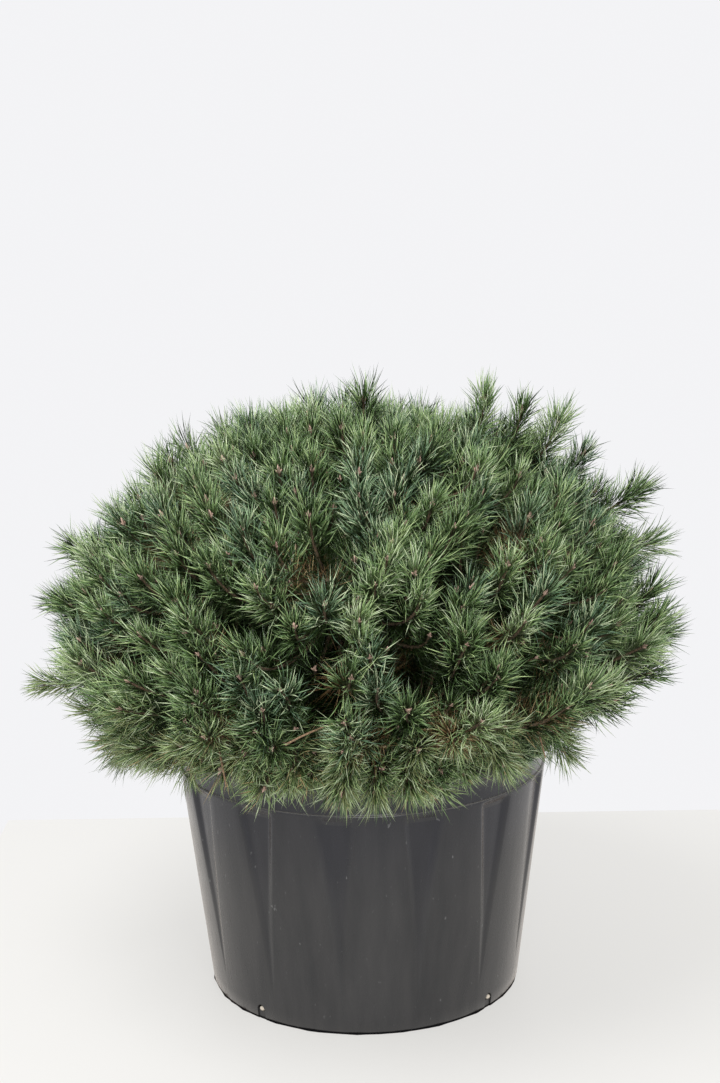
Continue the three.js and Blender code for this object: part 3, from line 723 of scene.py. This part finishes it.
def limb_tree():
    """Lines with a radius at each point become tubes with the bark's relief."""
    inputs = {"Geometry": "Geometry", "Sides": "Int", "Relief": "Float", "Relief Scale": "Float",
              "Material": "Material"}
    tree, given, out = new_tree("limbs", "GeometryNodeTree", inputs, {"Geometry": "Geometry"})
    carried = add_node(tree, "GeometryNodeCaptureAttribute")
    carried.capture_items.new("FLOAT", "thick")
    lines = add_node(tree, "GeometryNodeMeshToCurve")
    section = add_node(tree, "GeometryNodeCurvePrimitiveCircle", {"Radius": 1})
    tube = add_node(tree, "GeometryNodeCurveToMesh", {"Fill Caps": True})
    noise = add_node(tree, "ShaderNodeTexNoise", {"Detail": 5})
    centred = add_node(tree, "ShaderNodeMath", {1: 0.5}, operation="SUBTRACT")
    amount = add_node(tree, "ShaderNodeMath", operation="MULTIPLY")
    by_thick = add_node(tree, "ShaderNodeMath", operation="MULTIPLY")
    push = add_node(tree, "ShaderNodeVectorMath", operation="SCALE")
    shift = add_node(tree, "GeometryNodeSetPosition")
    paint = add_node(tree, "GeometryNodeSetMaterial")
    wire(tree,
         (given, "Geometry", carried, "Geometry"),
         (read_attribute(tree, "thick", "FLOAT"), "Attribute", carried, 1),
         (carried, "Geometry", lines, "Mesh"), (lines, "Curve", tube, "Curve"),
         (given, "Sides", section, "Resolution"),
         (section, "Curve", tube, "Profile Curve"), (carried, 1, tube, "Scale"),
         (given, "Relief Scale", noise, "Scale"), (noise, 0, centred, 0),
         (centred, 0, amount, 0), (given, "Relief", amount, 1),
         (amount, 0, by_thick, 0), (carried, 1, by_thick, 1),
         (add_node(tree, "GeometryNodeInputNormal"), 0, push, 0),
         (by_thick, 0, push, "Scale"), (tube, "Mesh", shift, "Geometry"),
         (push, 0, shift, "Offset"), (shift, "Geometry", paint, "Geometry"),
         (given, "Material", paint, "Material"), (paint, "Geometry", out, "Geometry"))
    return tree


LIMB_TREE = limb_tree()


def limb_piece(name, lines, sides, relief, scale, material):
    """One joined mesh of tubes from lines of (points, radii), in millimetres."""
    verts = np.concatenate([points for points, _ in lines]) * MM
    edges, start = [], 0
    for points, _ in lines:
        edges += [(i, i + 1) for i in range(start, start + len(points) - 1)]
        start += len(points)
    mesh = bpy.data.meshes.new(name)
    mesh.from_pydata(verts.tolist(), edges, [])
    new_attribute(mesh, "thick", "FLOAT", np.concatenate([radii for _, radii in lines]) * MM)
    piece = link_piece(name, mesh)
    values = {"Sides": sides, "Relief": relief, "Relief Scale": scale, "Material": material}
    add_tree(piece, LIMB_TREE, values)
    piece.data.shade_smooth()
    return piece


def bark_material(name, dark, light, bump):
    middle = tuple((a + b) / 2 for a, b in zip(dark, light))
    shades = list(zip(BARK_STOPS, (dark, middle, light)))
    mottle = (BARK_SCALE, BARK_STRETCH, bump, BARK_DEPTH)
    return mottled_material(name, light, BARK_DULLNESS, mottle, shades)


def make_limbs():
    t = np.linspace(0, 1, 3 * LIMB_POINTS)
    flare = TRUNK_FLARE * np.exp(-t * (TRUNK_TOP - SOIL_TOP) / TRUNK_FLARE_HEIGHT)
    lines = [(bezier(trunk_points(), t), taper(*TRUNK_RADII, t) + flare)]
    t = np.linspace(0, 1, 2 * LIMB_POINTS)
    for mass in MASSES[:-1]:
        lines.append((bezier(mass["bough"], t), taper(mass["thick"], BOUGH_TIP_RADIUS, t)))
    limbs = limb_piece("trunk_and_boughs", lines, *LIMB_TUBES, bark_material("old_bark", *OLD_BARK))
    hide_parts("trunk", *("bough_" + mass["name"] for mass in MASSES[:-1]))
    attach(limbs, "root")


make_limbs()


# Shoots: every mass's stem carries twigs that end in this year's shoots. They stand on the dome
# of the crown in a spiral, lean upward on top and outward below, and droop in a fringe round its
# edge. An inner set and a core set fill the crown behind them.
CROWN_RADIUS = 598
CROWN_RISE = 508
CROWN_DROP = 344
CROWN_SQUARENESS = 2.1
SKIRT_SIDE = -22
SKIRT_FRONT = -16
SKIRT_SWAY = 2.5
SHOOTS = 440
SHOOT_SEED = 4171
SHOOT_ROUGHNESS = 0.08
TUCK_START, TUCK_DEPTH = 0.06, 0.13
TUCK_MEAN, TUCK_SWAY = 0.155, 0.085
SHOOT_JITTER = 0.3
SHOOT_SWAY = 0.22
SHOOT_LIFT = 0.45
GOLDEN_TURN = 2 * math.pi * (1 - 2 / (1 + math.sqrt(5)))
FRINGE_SHOOTS = 62
FRINGE_SEED = 733
FRINGE_JITTER = 0.6
FRINGE_ROUGHNESS = SHOOT_ROUGHNESS * 1.5
FRINGE_DROOP = 0.42
FRINGE_LEAST_DROOP = 0.4
FRINGE_RISE = 0.085
FRINGE_FALL = 0.03
INNER_SHOOTS = 300
INNER_SEED = 90210
INNER_REACH = (0.88, 0.72)
CORE_SHOOTS = 370
CORE_SEED = 5501
CORE_REACH = (0.78, 0.32)
OUTLYING_SHOOTS = [
    # tip, and the way it points
    ((12, -40, 1150), (0, 0, 1)), ((231, -30, 1147), (0.05, 0, 1)),
    ((304, -20, 1122), (0.15, 0, 1)), ((377, -10, 1099), (0.3, 0, 1)),
    ((441, 60, 1024), (0.6, 0, 1)), ((543, 0, 948), (1, 0, 0.7)),
    ((577, 30, 835), (1, 0, 0.35)), ((595, -20, 668), (1, 0, 0.2)),
    ((-632, -20, 585), (-1, 0, 0.05)), ((-566, 40, 843), (-1, 0, 0.5)),
    ((-600, 30, 735), (-1, 0, 0.2)), ((-472, -40, 424), (-0.7, -0.1, -0.7)),
    ((-308, -300, 462), (-0.2, -0.2, -1)), ((-34, -490, 484), (0, -0.6, -0.8)),
    ((24, -484, 482), (0.1, -0.6, -0.8)), ((84, -470, 484), (0.2, -0.5, -0.8)),
    ((250, -400, 505), (0.4, -0.5, -0.8)), ((379, -200, 461), (0.5, -0.3, -0.8)),
    ((-201, 0, 1092), (-0.15, 0, 1)),
]
# across, height and radius of the places in front without shoots
CROWN_GAPS = [(-51, 784, 42), (-78, 660, 38), (115, 695, 34), (-194, 938, 30), (164, 927, 30)]
RIM_ABOVE, RIM_BESIDE = 25, 30
TWIG_RAKE = 0.8
TWIG_BEND = 0.45
TWIG_SPAN = (0.12, 0.95)
TWIG_RADII = (4.2, 2.2)
TWIG_POINTS = 9
TWIG_TUBES = (5, 0.35, 160)
FOOT_PLACES = 21
BUD_BACK = 44
BARE_TWIGS = [((-124, -505, 612), (-40, -440, 628)), ((296, -300, 585), (311, -350, 532)),
              ((-240, -380, 560), (-226, -440, 520))]
BARE_TWIG_BEND = (0, -6, 8)
BARE_TWIG_RADII = (2.1, 1.2)
BARE_TWIG_TUBES = (5, 0.3, 160)
STEM_RADII = (6.5, 3.2)
YOUNG_BARK = ((0.035, 0.024, 0.014, 1), (0.13, 0.085, 0.045, 1), 0.6)
BARE_WOOD = ((0.13, 0.08, 0.045, 1), (0.34, 0.22, 0.13, 1), 0.4)


def seeded(seed):
    """A small repeatable generator of numbers between 0 and 1, the same as the solids' own."""
    state = seed
    while True:
        state = state * 16807 % 2147483647
        yield state / 2147483647


def crown_reach(direction):
    """The crown's surface in a direction from the heart: a squared dome, tucked in below."""
    across = math.hypot(direction[0], direction[1])
    rise = abs(direction[2]) / (CROWN_RISE if direction[2] > 0 else CROWN_DROP)
    reach = (across / CROWN_RADIUS) ** CROWN_SQUARENESS + rise**CROWN_SQUARENESS
    tuck = np.clip((TUCK_START - direction[2]) / TUCK_DEPTH, 0, 1)
    sway = direction[0] / across if across > 0 else 0
    return reach ** (-1 / CROWN_SQUARENESS) * (1 - tuck * (TUCK_MEAN + TUCK_SWAY * sway))


def in_spots(point, spots):
    """Whether a point in front lies in one of some round spots, as the front view shows them."""
    return point[1] < 0 and any(math.hypot(point[0] - x, point[2] - z) < r for x, z, r in spots)


def lowest_climb(azimuth):
    """The sine of the skirt's angle below the heart, less steep in front."""
    frontness = ((1 + math.cos(azimuth)) / 2) ** 2
    angle = taper(SKIRT_SIDE, SKIRT_FRONT, frontness) - SKIRT_SWAY * math.sin(2 * azimuth)
    return math.sin(math.radians(angle))


def crown_point(azimuth, climb, part):
    direction = around(math.degrees(azimuth), math.sqrt(1 - climb * climb), climb)
    return direction, HEART + direction * crown_reach(direction) * part


def spiral_shoots(count, seed, reach, kind):
    numbers = seeded(seed)
    shoots = []
    for i in range(count):
        azimuth = i * GOLDEN_TURN + SHOOT_JITTER * (next(numbers) - 0.5)
        lowest = lowest_climb(azimuth)
        climb = lowest + (1 - lowest) * (i + next(numbers)) / count
        direction, tip = crown_point(azimuth, climb, taper(*reach, next(numbers)))
        sway = SHOOT_SWAY * np.array([2 * next(numbers) - 1 for _ in range(3)])
        along = unit(direction + SHOOT_LIFT * (1 + climb) ** 2 * UP + sway)
        shoots.append({"tip": tip, "along": along, "kind": kind})
    return shoots


def fringe_shoots():
    """Drooping shoots round the skirt's edge."""
    numbers = seeded(FRINGE_SEED)
    shoots = []
    for i in range(FRINGE_SHOOTS):
        azimuth = 2 * math.pi * (i + FRINGE_JITTER * (next(numbers) - 0.5)) / FRINGE_SHOOTS
        climb = lowest_climb(azimuth) + FRINGE_RISE * next(numbers) - FRINGE_FALL
        direction, tip = crown_point(azimuth, climb, 1 - FRINGE_ROUGHNESS * next(numbers))
        droop = FRINGE_DROOP * (FRINGE_LEAST_DROOP + next(numbers))
        shoots.append({"tip": tip, "along": unit(direction - droop * UP), "kind": "fringe"})
    return shoots


def under_rim(point):
    beside = math.hypot(point[0], point[1]) < POT_RIM_RADIUS + RIM_BESIDE
    return point[2] < POT_HEIGHT + RIM_ABOVE and beside


def twig_line(shoot):
    """A twig leaves its mass's stem some way back and bends over to the way its shoot points."""
    bud = shoot["tip"] - BUD_BACK * shoot["along"]
    stem = shoot["mass"]["stem"]
    places = np.linspace(0, 1, FOOT_PLACES)
    away = np.linalg.norm(bezier(stem, places) - bud, axis=1)
    foot = np.argmin(away)
    back = places[foot] - TWIG_RAKE * away[foot] / np.linalg.norm(stem[2] - stem[0])
    root = bezier(stem, np.clip(back, *TWIG_SPAN))
    turn = bud - TWIG_BEND * np.linalg.norm(bud - root) * shoot["along"]
    return bezier([root, turn, bud], np.linspace(0, 1, TWIG_POINTS))


def grow_shoots():
    """Every shoot with its tip, direction, kind, mass and twig."""
    shoots = [{"tip": np.array(tip, dtype=float), "along": unit(np.array(along, dtype=float)),
               "kind": "outlying"} for tip, along in OUTLYING_SHOOTS]
    shoots += spiral_shoots(SHOOTS, SHOOT_SEED, (1, 1 - SHOOT_ROUGHNESS), "outer")
    shoots += fringe_shoots()
    shoots += spiral_shoots(INNER_SHOOTS, INNER_SEED, INNER_REACH, "inner")
    shoots = [shoot for shoot in shoots if not in_spots(shoot["tip"], CROWN_GAPS)]
    shoots += spiral_shoots(CORE_SHOOTS, CORE_SEED, CORE_REACH, "core")
    shoots = [shoot for shoot in shoots if not under_rim(shoot["tip"])]
    middles = np.array([mass["middle"] for mass in MASSES])
    for shoot in shoots:
        away = np.linalg.norm(middles - shoot["tip"], axis=1)
        shoot["mass"] = MASSES[int(np.argmin(away))]
        shoot["line"] = twig_line(shoot)
    return shoots


SHOOT_LIST = grow_shoots()


def make_twigs():
    t = np.linspace(0, 1, LIMB_POINTS)
    lines = [(bezier(mass["stem"], t), taper(*STEM_RADII, t)) for mass in MASSES]
    t = np.linspace(0, 1, TWIG_POINTS)
    lines += [(shoot["line"], taper(*TWIG_RADII, t)) for shoot in SHOOT_LIST]
    twigs = limb_piece("twigs", lines, *TWIG_TUBES, bark_material("young_bark", *YOUNG_BARK))
    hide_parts(*("foliage_" + mass["name"] for mass in MASSES))
    bare = []
    for points in BARE_TWIGS:
        start, end = (np.array(point, dtype=float) for point in points)
        bend = (start + end) / 2 + BARE_TWIG_BEND
        bare.append((bezier([start, bend, end], t), taper(*BARE_TWIG_RADII, t)))
    wood = bark_material("bare_wood", *BARE_WOOD)
    bare_twigs = limb_piece("bare_twigs", bare, *BARE_TWIG_TUBES, wood)
    for piece in (twigs, bare_twigs):
        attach(piece, "root")


make_twigs()


# Needles: they stand round the last years' growth, closest at the tip, point forward and bend a
# little. Each is a slim closed blade. Every shoot has its own tint, olive on many low ones. Paler
# tints low down and pale ones in the fringe are painted light, and slightly darker ones on top and
# on the inner shoots painted shade. The oldest needles, deep on the twig, are brown, or dark from
# age and painted shade, darkest beside the crown's hollows.
NEEDLE_LENGTH = 65
NEEDLE_WIDTH = 2.15
OLD_WIDTH = 2.6
NEEDLE_WAIST = 0.62
NEEDLE_CURL = 0.21
NEEDLE_LIFT = 0.35
NEEDLE_FORWARD = 0.8
NEEDLE_FLATNESS = 0.7
# keeps a blade's cross-section from falling in line with its way
ASKEW = (0.1, 0.3, 0.7)
NEEDLE_CROWDING = 1.1
NEEDLE_SIZES = (0.7, 1.15)
SPRAY_SIZES = (0.84, 1.12)
SPRAYS = {
    # kind of shoot: needles on this year's growth, and on the growth behind it
    "outlying": (230, 190),
    "outer": (165, 130),
    "fringe": (165, 130),
    "inner": (70, 70),
    "core": (0, 120),
}
TIP_STRETCH = 78
TIP_LEAN = (26, 60)
BEHIND_STRETCH = 100
BEHIND_LEAN = (50, 74)
LEAN_SWAY = 10
LEAN_LIMITS = (5, 100)
AXIS_LOOK = 14
SPENT_SPOTS = [
    # across, height and radius of the places in front where dead needles show
    (-110, 842, 38), (-333, 823, 32), (-79, 625, 36), (150, 604, 24), (245, 845, 22),
    (-237, 560, 34), (20, 590, 28),
]
HOLLOWS = [
    # places on the crown's front where it is open, and how wide: no needle reaches in there
    ((-64, -548, 684), 25), ((-53, -522, 787), 25), ((121, -534, 713), 14), ((160, -457, 868), 20),
    ((193, -414, 902), 17), ((-211, -377, 931), 17), ((-146, -517, 749), 13), ((46, -525, 786), 10),
    ((-346, -365, 577), 14), ((-324, -350, 520), 22), ((-318, -320, 480), 22), ((-250, -450, 537), 19),
    ((-262, -400, 502), 24), ((-172, -445, 494), 17),
]
HOLLOW_DEPTH = 0.68
# how far from a hollow the needles carry painted shade
HOLLOW_SHADE_REACH = 28
NEEDLE_DULLNESS = 0.32
NEEDLE_SHINE = 0.6
DULL_SHINE = 0.18
DULL_TINTS = ("shade", "deep", "spent")
TINTS = {
    # each with its own next darker and next paler one
    "pale": ((0.410, 0.486, 0.295, 1), "sunlit", "pale"),
    "sunlit": ((0.274, 0.366, 0.152, 1), "bright", "pale"),
    "frosted": ((0.176, 0.272, 0.136, 1), "blue", "pale"),
    "bright": ((0.141, 0.227, 0.080, 1), "mid", "sunlit"),
    "olive": ((0.190, 0.222, 0.088, 1), "mid", "sunlit"),
    "mid": ((0.066, 0.122, 0.038, 1), "shade", "bright"),
    "blue": ((0.069, 0.131, 0.069, 1), "shade", "frosted"),
    # shade: the older needles' dark green, darkened further as painted shade deep in the crown
    "shade": ((0.015, 0.029, 0.007, 1), "shade", "mid"),
    # deep: painted shade, near black, for needles beside the crown's hollows
    "deep": ((0.007, 0.012, 0.004, 1), "deep", "shade"),
    "spent": ((0.130, 0.078, 0.034, 1), "spent", "straw"),
    "straw": ((0.400, 0.300, 0.140, 1), "spent", "straw"),
}
# a shoot's pick from 0 to 1 falls a little with height, as painted shade on the top, and is raised
# low down and in the fringe, as painted light on the crown's underside
LOWEST_TIP, TIP_SPAN = 400, 750
PAINTED_SHADE_BY_HEIGHT = 0.08
FRINGE_PAINTED_LIGHT = 0.7
LOW_PAINTED_LIGHT = 0.12
OLIVE_BELOW = 660
OLIVE_FROM, OLIVE_TO = 0.5, 1.1
TINT_STEPS = [(1.35, "pale"), (0.94, "sunlit"), (0.61, "bright"), (0.28, "mid"), (-1, "blue")]
INNER_MID_FROM = 0.5
# how much of a spray is darker, paler and paler still than its tint
TINT_SHARES = (0.3, 0.24, 0.15)
SPENT_SHARE = 0.11
SPENT_BACK = 110.0
STRAW_SHARE = 0.25
NEEDLE_SEED = 7
PIECE_FACES = 190000


def along_line(line, back):
    """Points some way back from the end of a line."""
    steps = np.linalg.norm(np.diff(line, axis=0), axis=1)
    from_tip = np.concatenate([[0], np.cumsum(steps[::-1])])
    return np.stack([np.interp(back, from_tip, line[::-1, i]) for i in range(3)], -1)


def unit_rows(rows):
    return rows / np.linalg.norm(rows, axis=1, keepdims=True)


def needle_set(rng, shoot, start, stretch, count, leans, length):
    """Needles on the stretch of a twig behind a place, as rows of base, way, bend and length."""
    back = start + stretch * rng.random(count) ** NEEDLE_CROWDING
    base = along_line(shoot["line"], back)
    ahead = along_line(shoot["line"], np.maximum(back - AXIS_LOOK, 0))
    axis = unit_rows(ahead - base + shoot["along"] * np.maximum(AXIS_LOOK - back, 1)[:, None])
    side = unit_rows(np.cross(axis, rng.normal(size=(count, 3))))
    lean = leans[0] + (leans[1] - leans[0]) * (back - start) / stretch
    lean = np.radians(np.clip(lean + rng.normal(0, LEAN_SWAY, count), *LEAN_LIMITS))
    way = np.cos(lean)[:, None] * axis + np.sin(lean)[:, None] * side
    sizes = length * rng.uniform(*NEEDLE_SIZES, count)
    bend = rng.normal(size=(count, 3)) + NEEDLE_FORWARD * (axis - way * np.cos(lean)[:, None])
    bend[:, 2] += NEEDLE_LIFT
    bend -= way * np.sum(bend * way, axis=1, keepdims=True)
    return np.hstack([base, way, bend * (NEEDLE_CURL * sizes)[:, None], sizes[:, None]])


def needle_mesh(name, rows, width, bent):
    """Closed blades: two slim points about a waist where bent, or else one long point."""
    base, way, bend, sizes = rows[:, :3], rows[:, 3:6], rows[:, 6:9], rows[:, 9:]
    side = unit_rows(np.cross(way, np.roll(way, 1, axis=1) + ASKEW))
    over = np.cross(way, side)
    waist = base + way * NEEDLE_WAIST * sizes + NEEDLE_WAIST**2 * bend if bent else base
    corners = [waist + width / 2 * (math.cos(a) * side + NEEDLE_FLATNESS * math.sin(a) * over)
               for a in np.radians([90, 210, 330])]
    tip = base + way * sizes + bend
    points = np.stack([*corners, tip, base] if bent else [*corners, tip], 1)
    back_faces = [(4, 1, 0), (4, 2, 1), (4, 0, 2)] if bent else [(0, 2, 1)]
    pattern = np.array([(3, 0, 1), (3, 1, 2), (3, 2, 0), *back_faces])
    faces = (points.shape[1] * np.arange(len(rows))[:, None, None] + pattern).reshape(-1, 3)
    mesh = bpy.data.meshes.new(name)
    mesh.vertices.add(points.shape[0] * points.shape[1])
    mesh.vertices.foreach_set("co", (points * MM).astype(np.float32).ravel())
    mesh.loops.add(faces.size)
    mesh.loops.foreach_set("vertex_index", faces.astype(np.int32).ravel())
    mesh.polygons.add(len(faces))
    mesh.polygons.foreach_set("loop_start", np.arange(0, faces.size, 3, dtype=np.int32))
    mesh.update(calc_edges=True)
    mesh.validate()
    return mesh


def needle_material(name, colour):
    material, shader = plain_material(f"needles_{name}", colour, NEEDLE_DULLNESS)
    shine = DULL_SHINE if name in DULL_TINTS else NEEDLE_SHINE
    shader.inputs["Specular IOR Level"].default_value = shine
    return material


def in_hollow(points, beyond=0):
    """Which of some points lie in a hollow, or within some way of one."""
    inside = np.zeros(len(points), dtype=bool)
    for place, radius in HOLLOWS:
        outward = unit(place - HEART)
        along = (points - HEART) @ outward
        aside = np.linalg.norm(points - HEART - along[:, None] * outward, axis=1)
        deep = HOLLOW_DEPTH * np.linalg.norm(place - HEART)
        inside |= (aside < radius + beyond) & (along > deep)
    return inside


def in_hollow_shade(shoot):
    return in_hollow(shoot["tip"][None], HOLLOW_SHADE_REACH)[0]


def clear_hollows(rows):
    """Leaves out the needles whose ends would reach into a hollow."""
    ends = rows[:, :3] + rows[:, 3:6] * rows[:, 9:] + rows[:, 6:9]
    return rows[~in_hollow(ends)]


def tip_tint(rng, shoot):
    height = shoot["tip"][2]
    low = height < OLIVE_BELOW
    # painted light low down and in the fringe, painted shade on top
    pick = rng.random() - PAINTED_SHADE_BY_HEIGHT * ((height - LOWEST_TIP) / TIP_SPAN - 0.5)
    if shoot["kind"] == "fringe":
        pick += FRINGE_PAINTED_LIGHT
    elif low:
        pick += LOW_PAINTED_LIGHT
    # inner shoots carry painted shade: deep beside a hollow, else shade or mid unless dead needles show
    if shoot["kind"] == "inner":
        if in_hollow_shade(shoot):
            return "deep"
        if in_spots(shoot["tip"], SPENT_SPOTS):
            return "spent"
        return "shade" if pick < INNER_MID_FROM else "mid"
    if low and OLIVE_FROM < pick < OLIVE_TO:
        return "olive"
    return next(tint for start, tint in TINT_STEPS if pick > start)


def deal_needles(rng, shoot, young, old):
    """Adds one shoot's needles to the lists of their tints."""
    kind = shoot["kind"]
    tint = tip_tint(rng, shoot)
    _, darker, paler = TINTS[tint]
    palest = "straw" if kind == "fringe" else TINTS[paler][2]
    tips, behind = SPRAYS[kind]
    length = NEEDLE_LENGTH * rng.uniform(*SPRAY_SIZES)
    few_dark, few_pale, few_palest = (int(share * tips) for share in TINT_SHARES)
    own = tips - few_dark - few_pale - few_palest
    fresh = old if kind == "inner" else young
    for name, count in ((darker, few_dark), (tint, own), (paler, few_pale), (palest, few_palest)):
        grown = needle_set(rng, shoot, 0, TIP_STRETCH, count, TIP_LEAN, length)
        fresh[name].append(clear_hollows(grown))
    behind_tip = along_line(shoot["line"], SPENT_BACK)
    spent = rng.random() < SPENT_SHARE or in_spots(behind_tip, SPENT_SPOTS)
    straw = int(STRAW_SHARE * behind) if spent else 0
    dull = "spent" if spent else "shade"
    # beside a hollow the needles behind carry painted shade, deep on inner and core shoots
    if in_hollow_shade(shoot):
        straw = 0
        dull = "deep" if kind in ("inner", "core") else "shade"
    start = TIP_STRETCH if tips else 0
    for name, count in ((dull, behind - straw), ("straw", straw)):
        grown = needle_set(rng, shoot, start, BEHIND_STRETCH, count, BEHIND_LEAN, length)
        old[name].append(clear_hollows(grown))


def make_needles():
    rng = np.random.default_rng(NEEDLE_SEED)
    young = {name: [] for name in TINTS}
    old = {name: [] for name in TINTS}
    for shoot in SHOOT_LIST:
        deal_needles(rng, shoot, young, old)
    for name, (colour, _, _) in TINTS.items():
        material = needle_material(name, colour)
        for age, parts, width in (("new", young[name], NEEDLE_WIDTH), ("old", old[name], OLD_WIDTH)):
            bent = age == "new"
            rows = np.vstack([np.empty((0, 10)), *parts])
            pieces = math.ceil(len(rows) * (6 if bent else 4) / PIECE_FACES)
            for i in range(pieces):
                label = f"needles_{name}_{age}_{i + 1}"
                mesh = needle_mesh(label, np.array_split(rows, pieces)[i], width, bent)
                needles = link_piece(label, mesh, material)
                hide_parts(*("foliage_" + mass["name"] for mass in MASSES))
                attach(needles, "root")


make_needles()


# Buds: each shoot ends in a few pointed winter buds, the middle one longest, pinkish tan with
# dry resin on their scales.
BUD_LENGTH = 14
BUD_WIDTH = 5.6
SIDE_BUDS = 3
SIDE_BUD_SIZE = 0.66
SIDE_BUD_LEAN = 38
SIDE_BUD_TURN = 20
BUD_SIDES = 6
BUD_RINGS = [(0.0, 0.55), (0.25, 1.0), (0.6, 0.8)]
BUD_FOOT = -0.1
BUD_SIZES = (0.8, 1.25)
BUD_SEED = 5
BUD_COLOUR = (0.40, 0.27, 0.21, 1)
BUD_DULLNESS = 0.55


def bud_mesh():
    """A cluster along +Z, a unit high."""
    shape = bmesh.new()
    width = BUD_WIDTH / BUD_LENGTH / 2
    angles = [math.radians(360 / BUD_SIDES * k) for k in range(BUD_SIDES)]
    buds = [(Matrix.Identity(4), 1.0)]
    for i in range(SIDE_BUDS):
        turn = Matrix.Rotation(math.radians(360 * i / SIDE_BUDS + SIDE_BUD_TURN), 4, "Z")
        lean = Matrix.Rotation(math.radians(SIDE_BUD_LEAN), 4, "Y")
        buds.append((turn @ lean, SIDE_BUD_SIZE))
    for place, size in buds:
        rings = []
        for height, radius in BUD_RINGS:
            reach = radius * width
            spots = [Vector((reach * math.cos(a), reach * math.sin(a), height)) for a in angles]
            rings.append([shape.verts.new(place @ (spot * size)) for spot in spots])
        tip = shape.verts.new(place @ Vector((0, 0, size)))
        foot = shape.verts.new(place @ Vector((0, 0, BUD_FOOT * size)))
        steps = [(k, (k + 1) % BUD_SIDES) for k in range(BUD_SIDES)]
        for low, high in zip(rings, rings[1:]):
            for k, after in steps:
                shape.faces.new((low[k], low[after], high[after], high[k]))
        for k, after in steps:
            shape.faces.new((rings[-1][k], rings[-1][after], tip))
            shape.faces.new((rings[0][after], rings[0][k], foot))
    return mesh_of("bud_cluster", shape)


def make_buds():
    rough = random.Random(BUD_SEED)
    places, turns, sizes = [], [], []
    for shoot in SHOOT_LIST:
        if shoot["kind"] == "core":
            continue
        places.append(shoot["line"][-1] * MM)
        aim = Vector(shoot["along"]).to_track_quat("Z", "Y")
        spin = Matrix.Rotation(rough.uniform(0, 6.28), 3, "Z").to_quaternion()
        turns.append((aim @ spin).to_euler())
        sizes.append(rough.uniform(*BUD_SIZES))
    material, _ = plain_material("bud_scales", BUD_COLOUR, BUD_DULLNESS)
    buds = scatter("buds", bud_mesh(), material, places, turns, sizes, BUD_LENGTH * MM)
    buds.data.shade_smooth()
    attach(buds, "root")


make_buds()
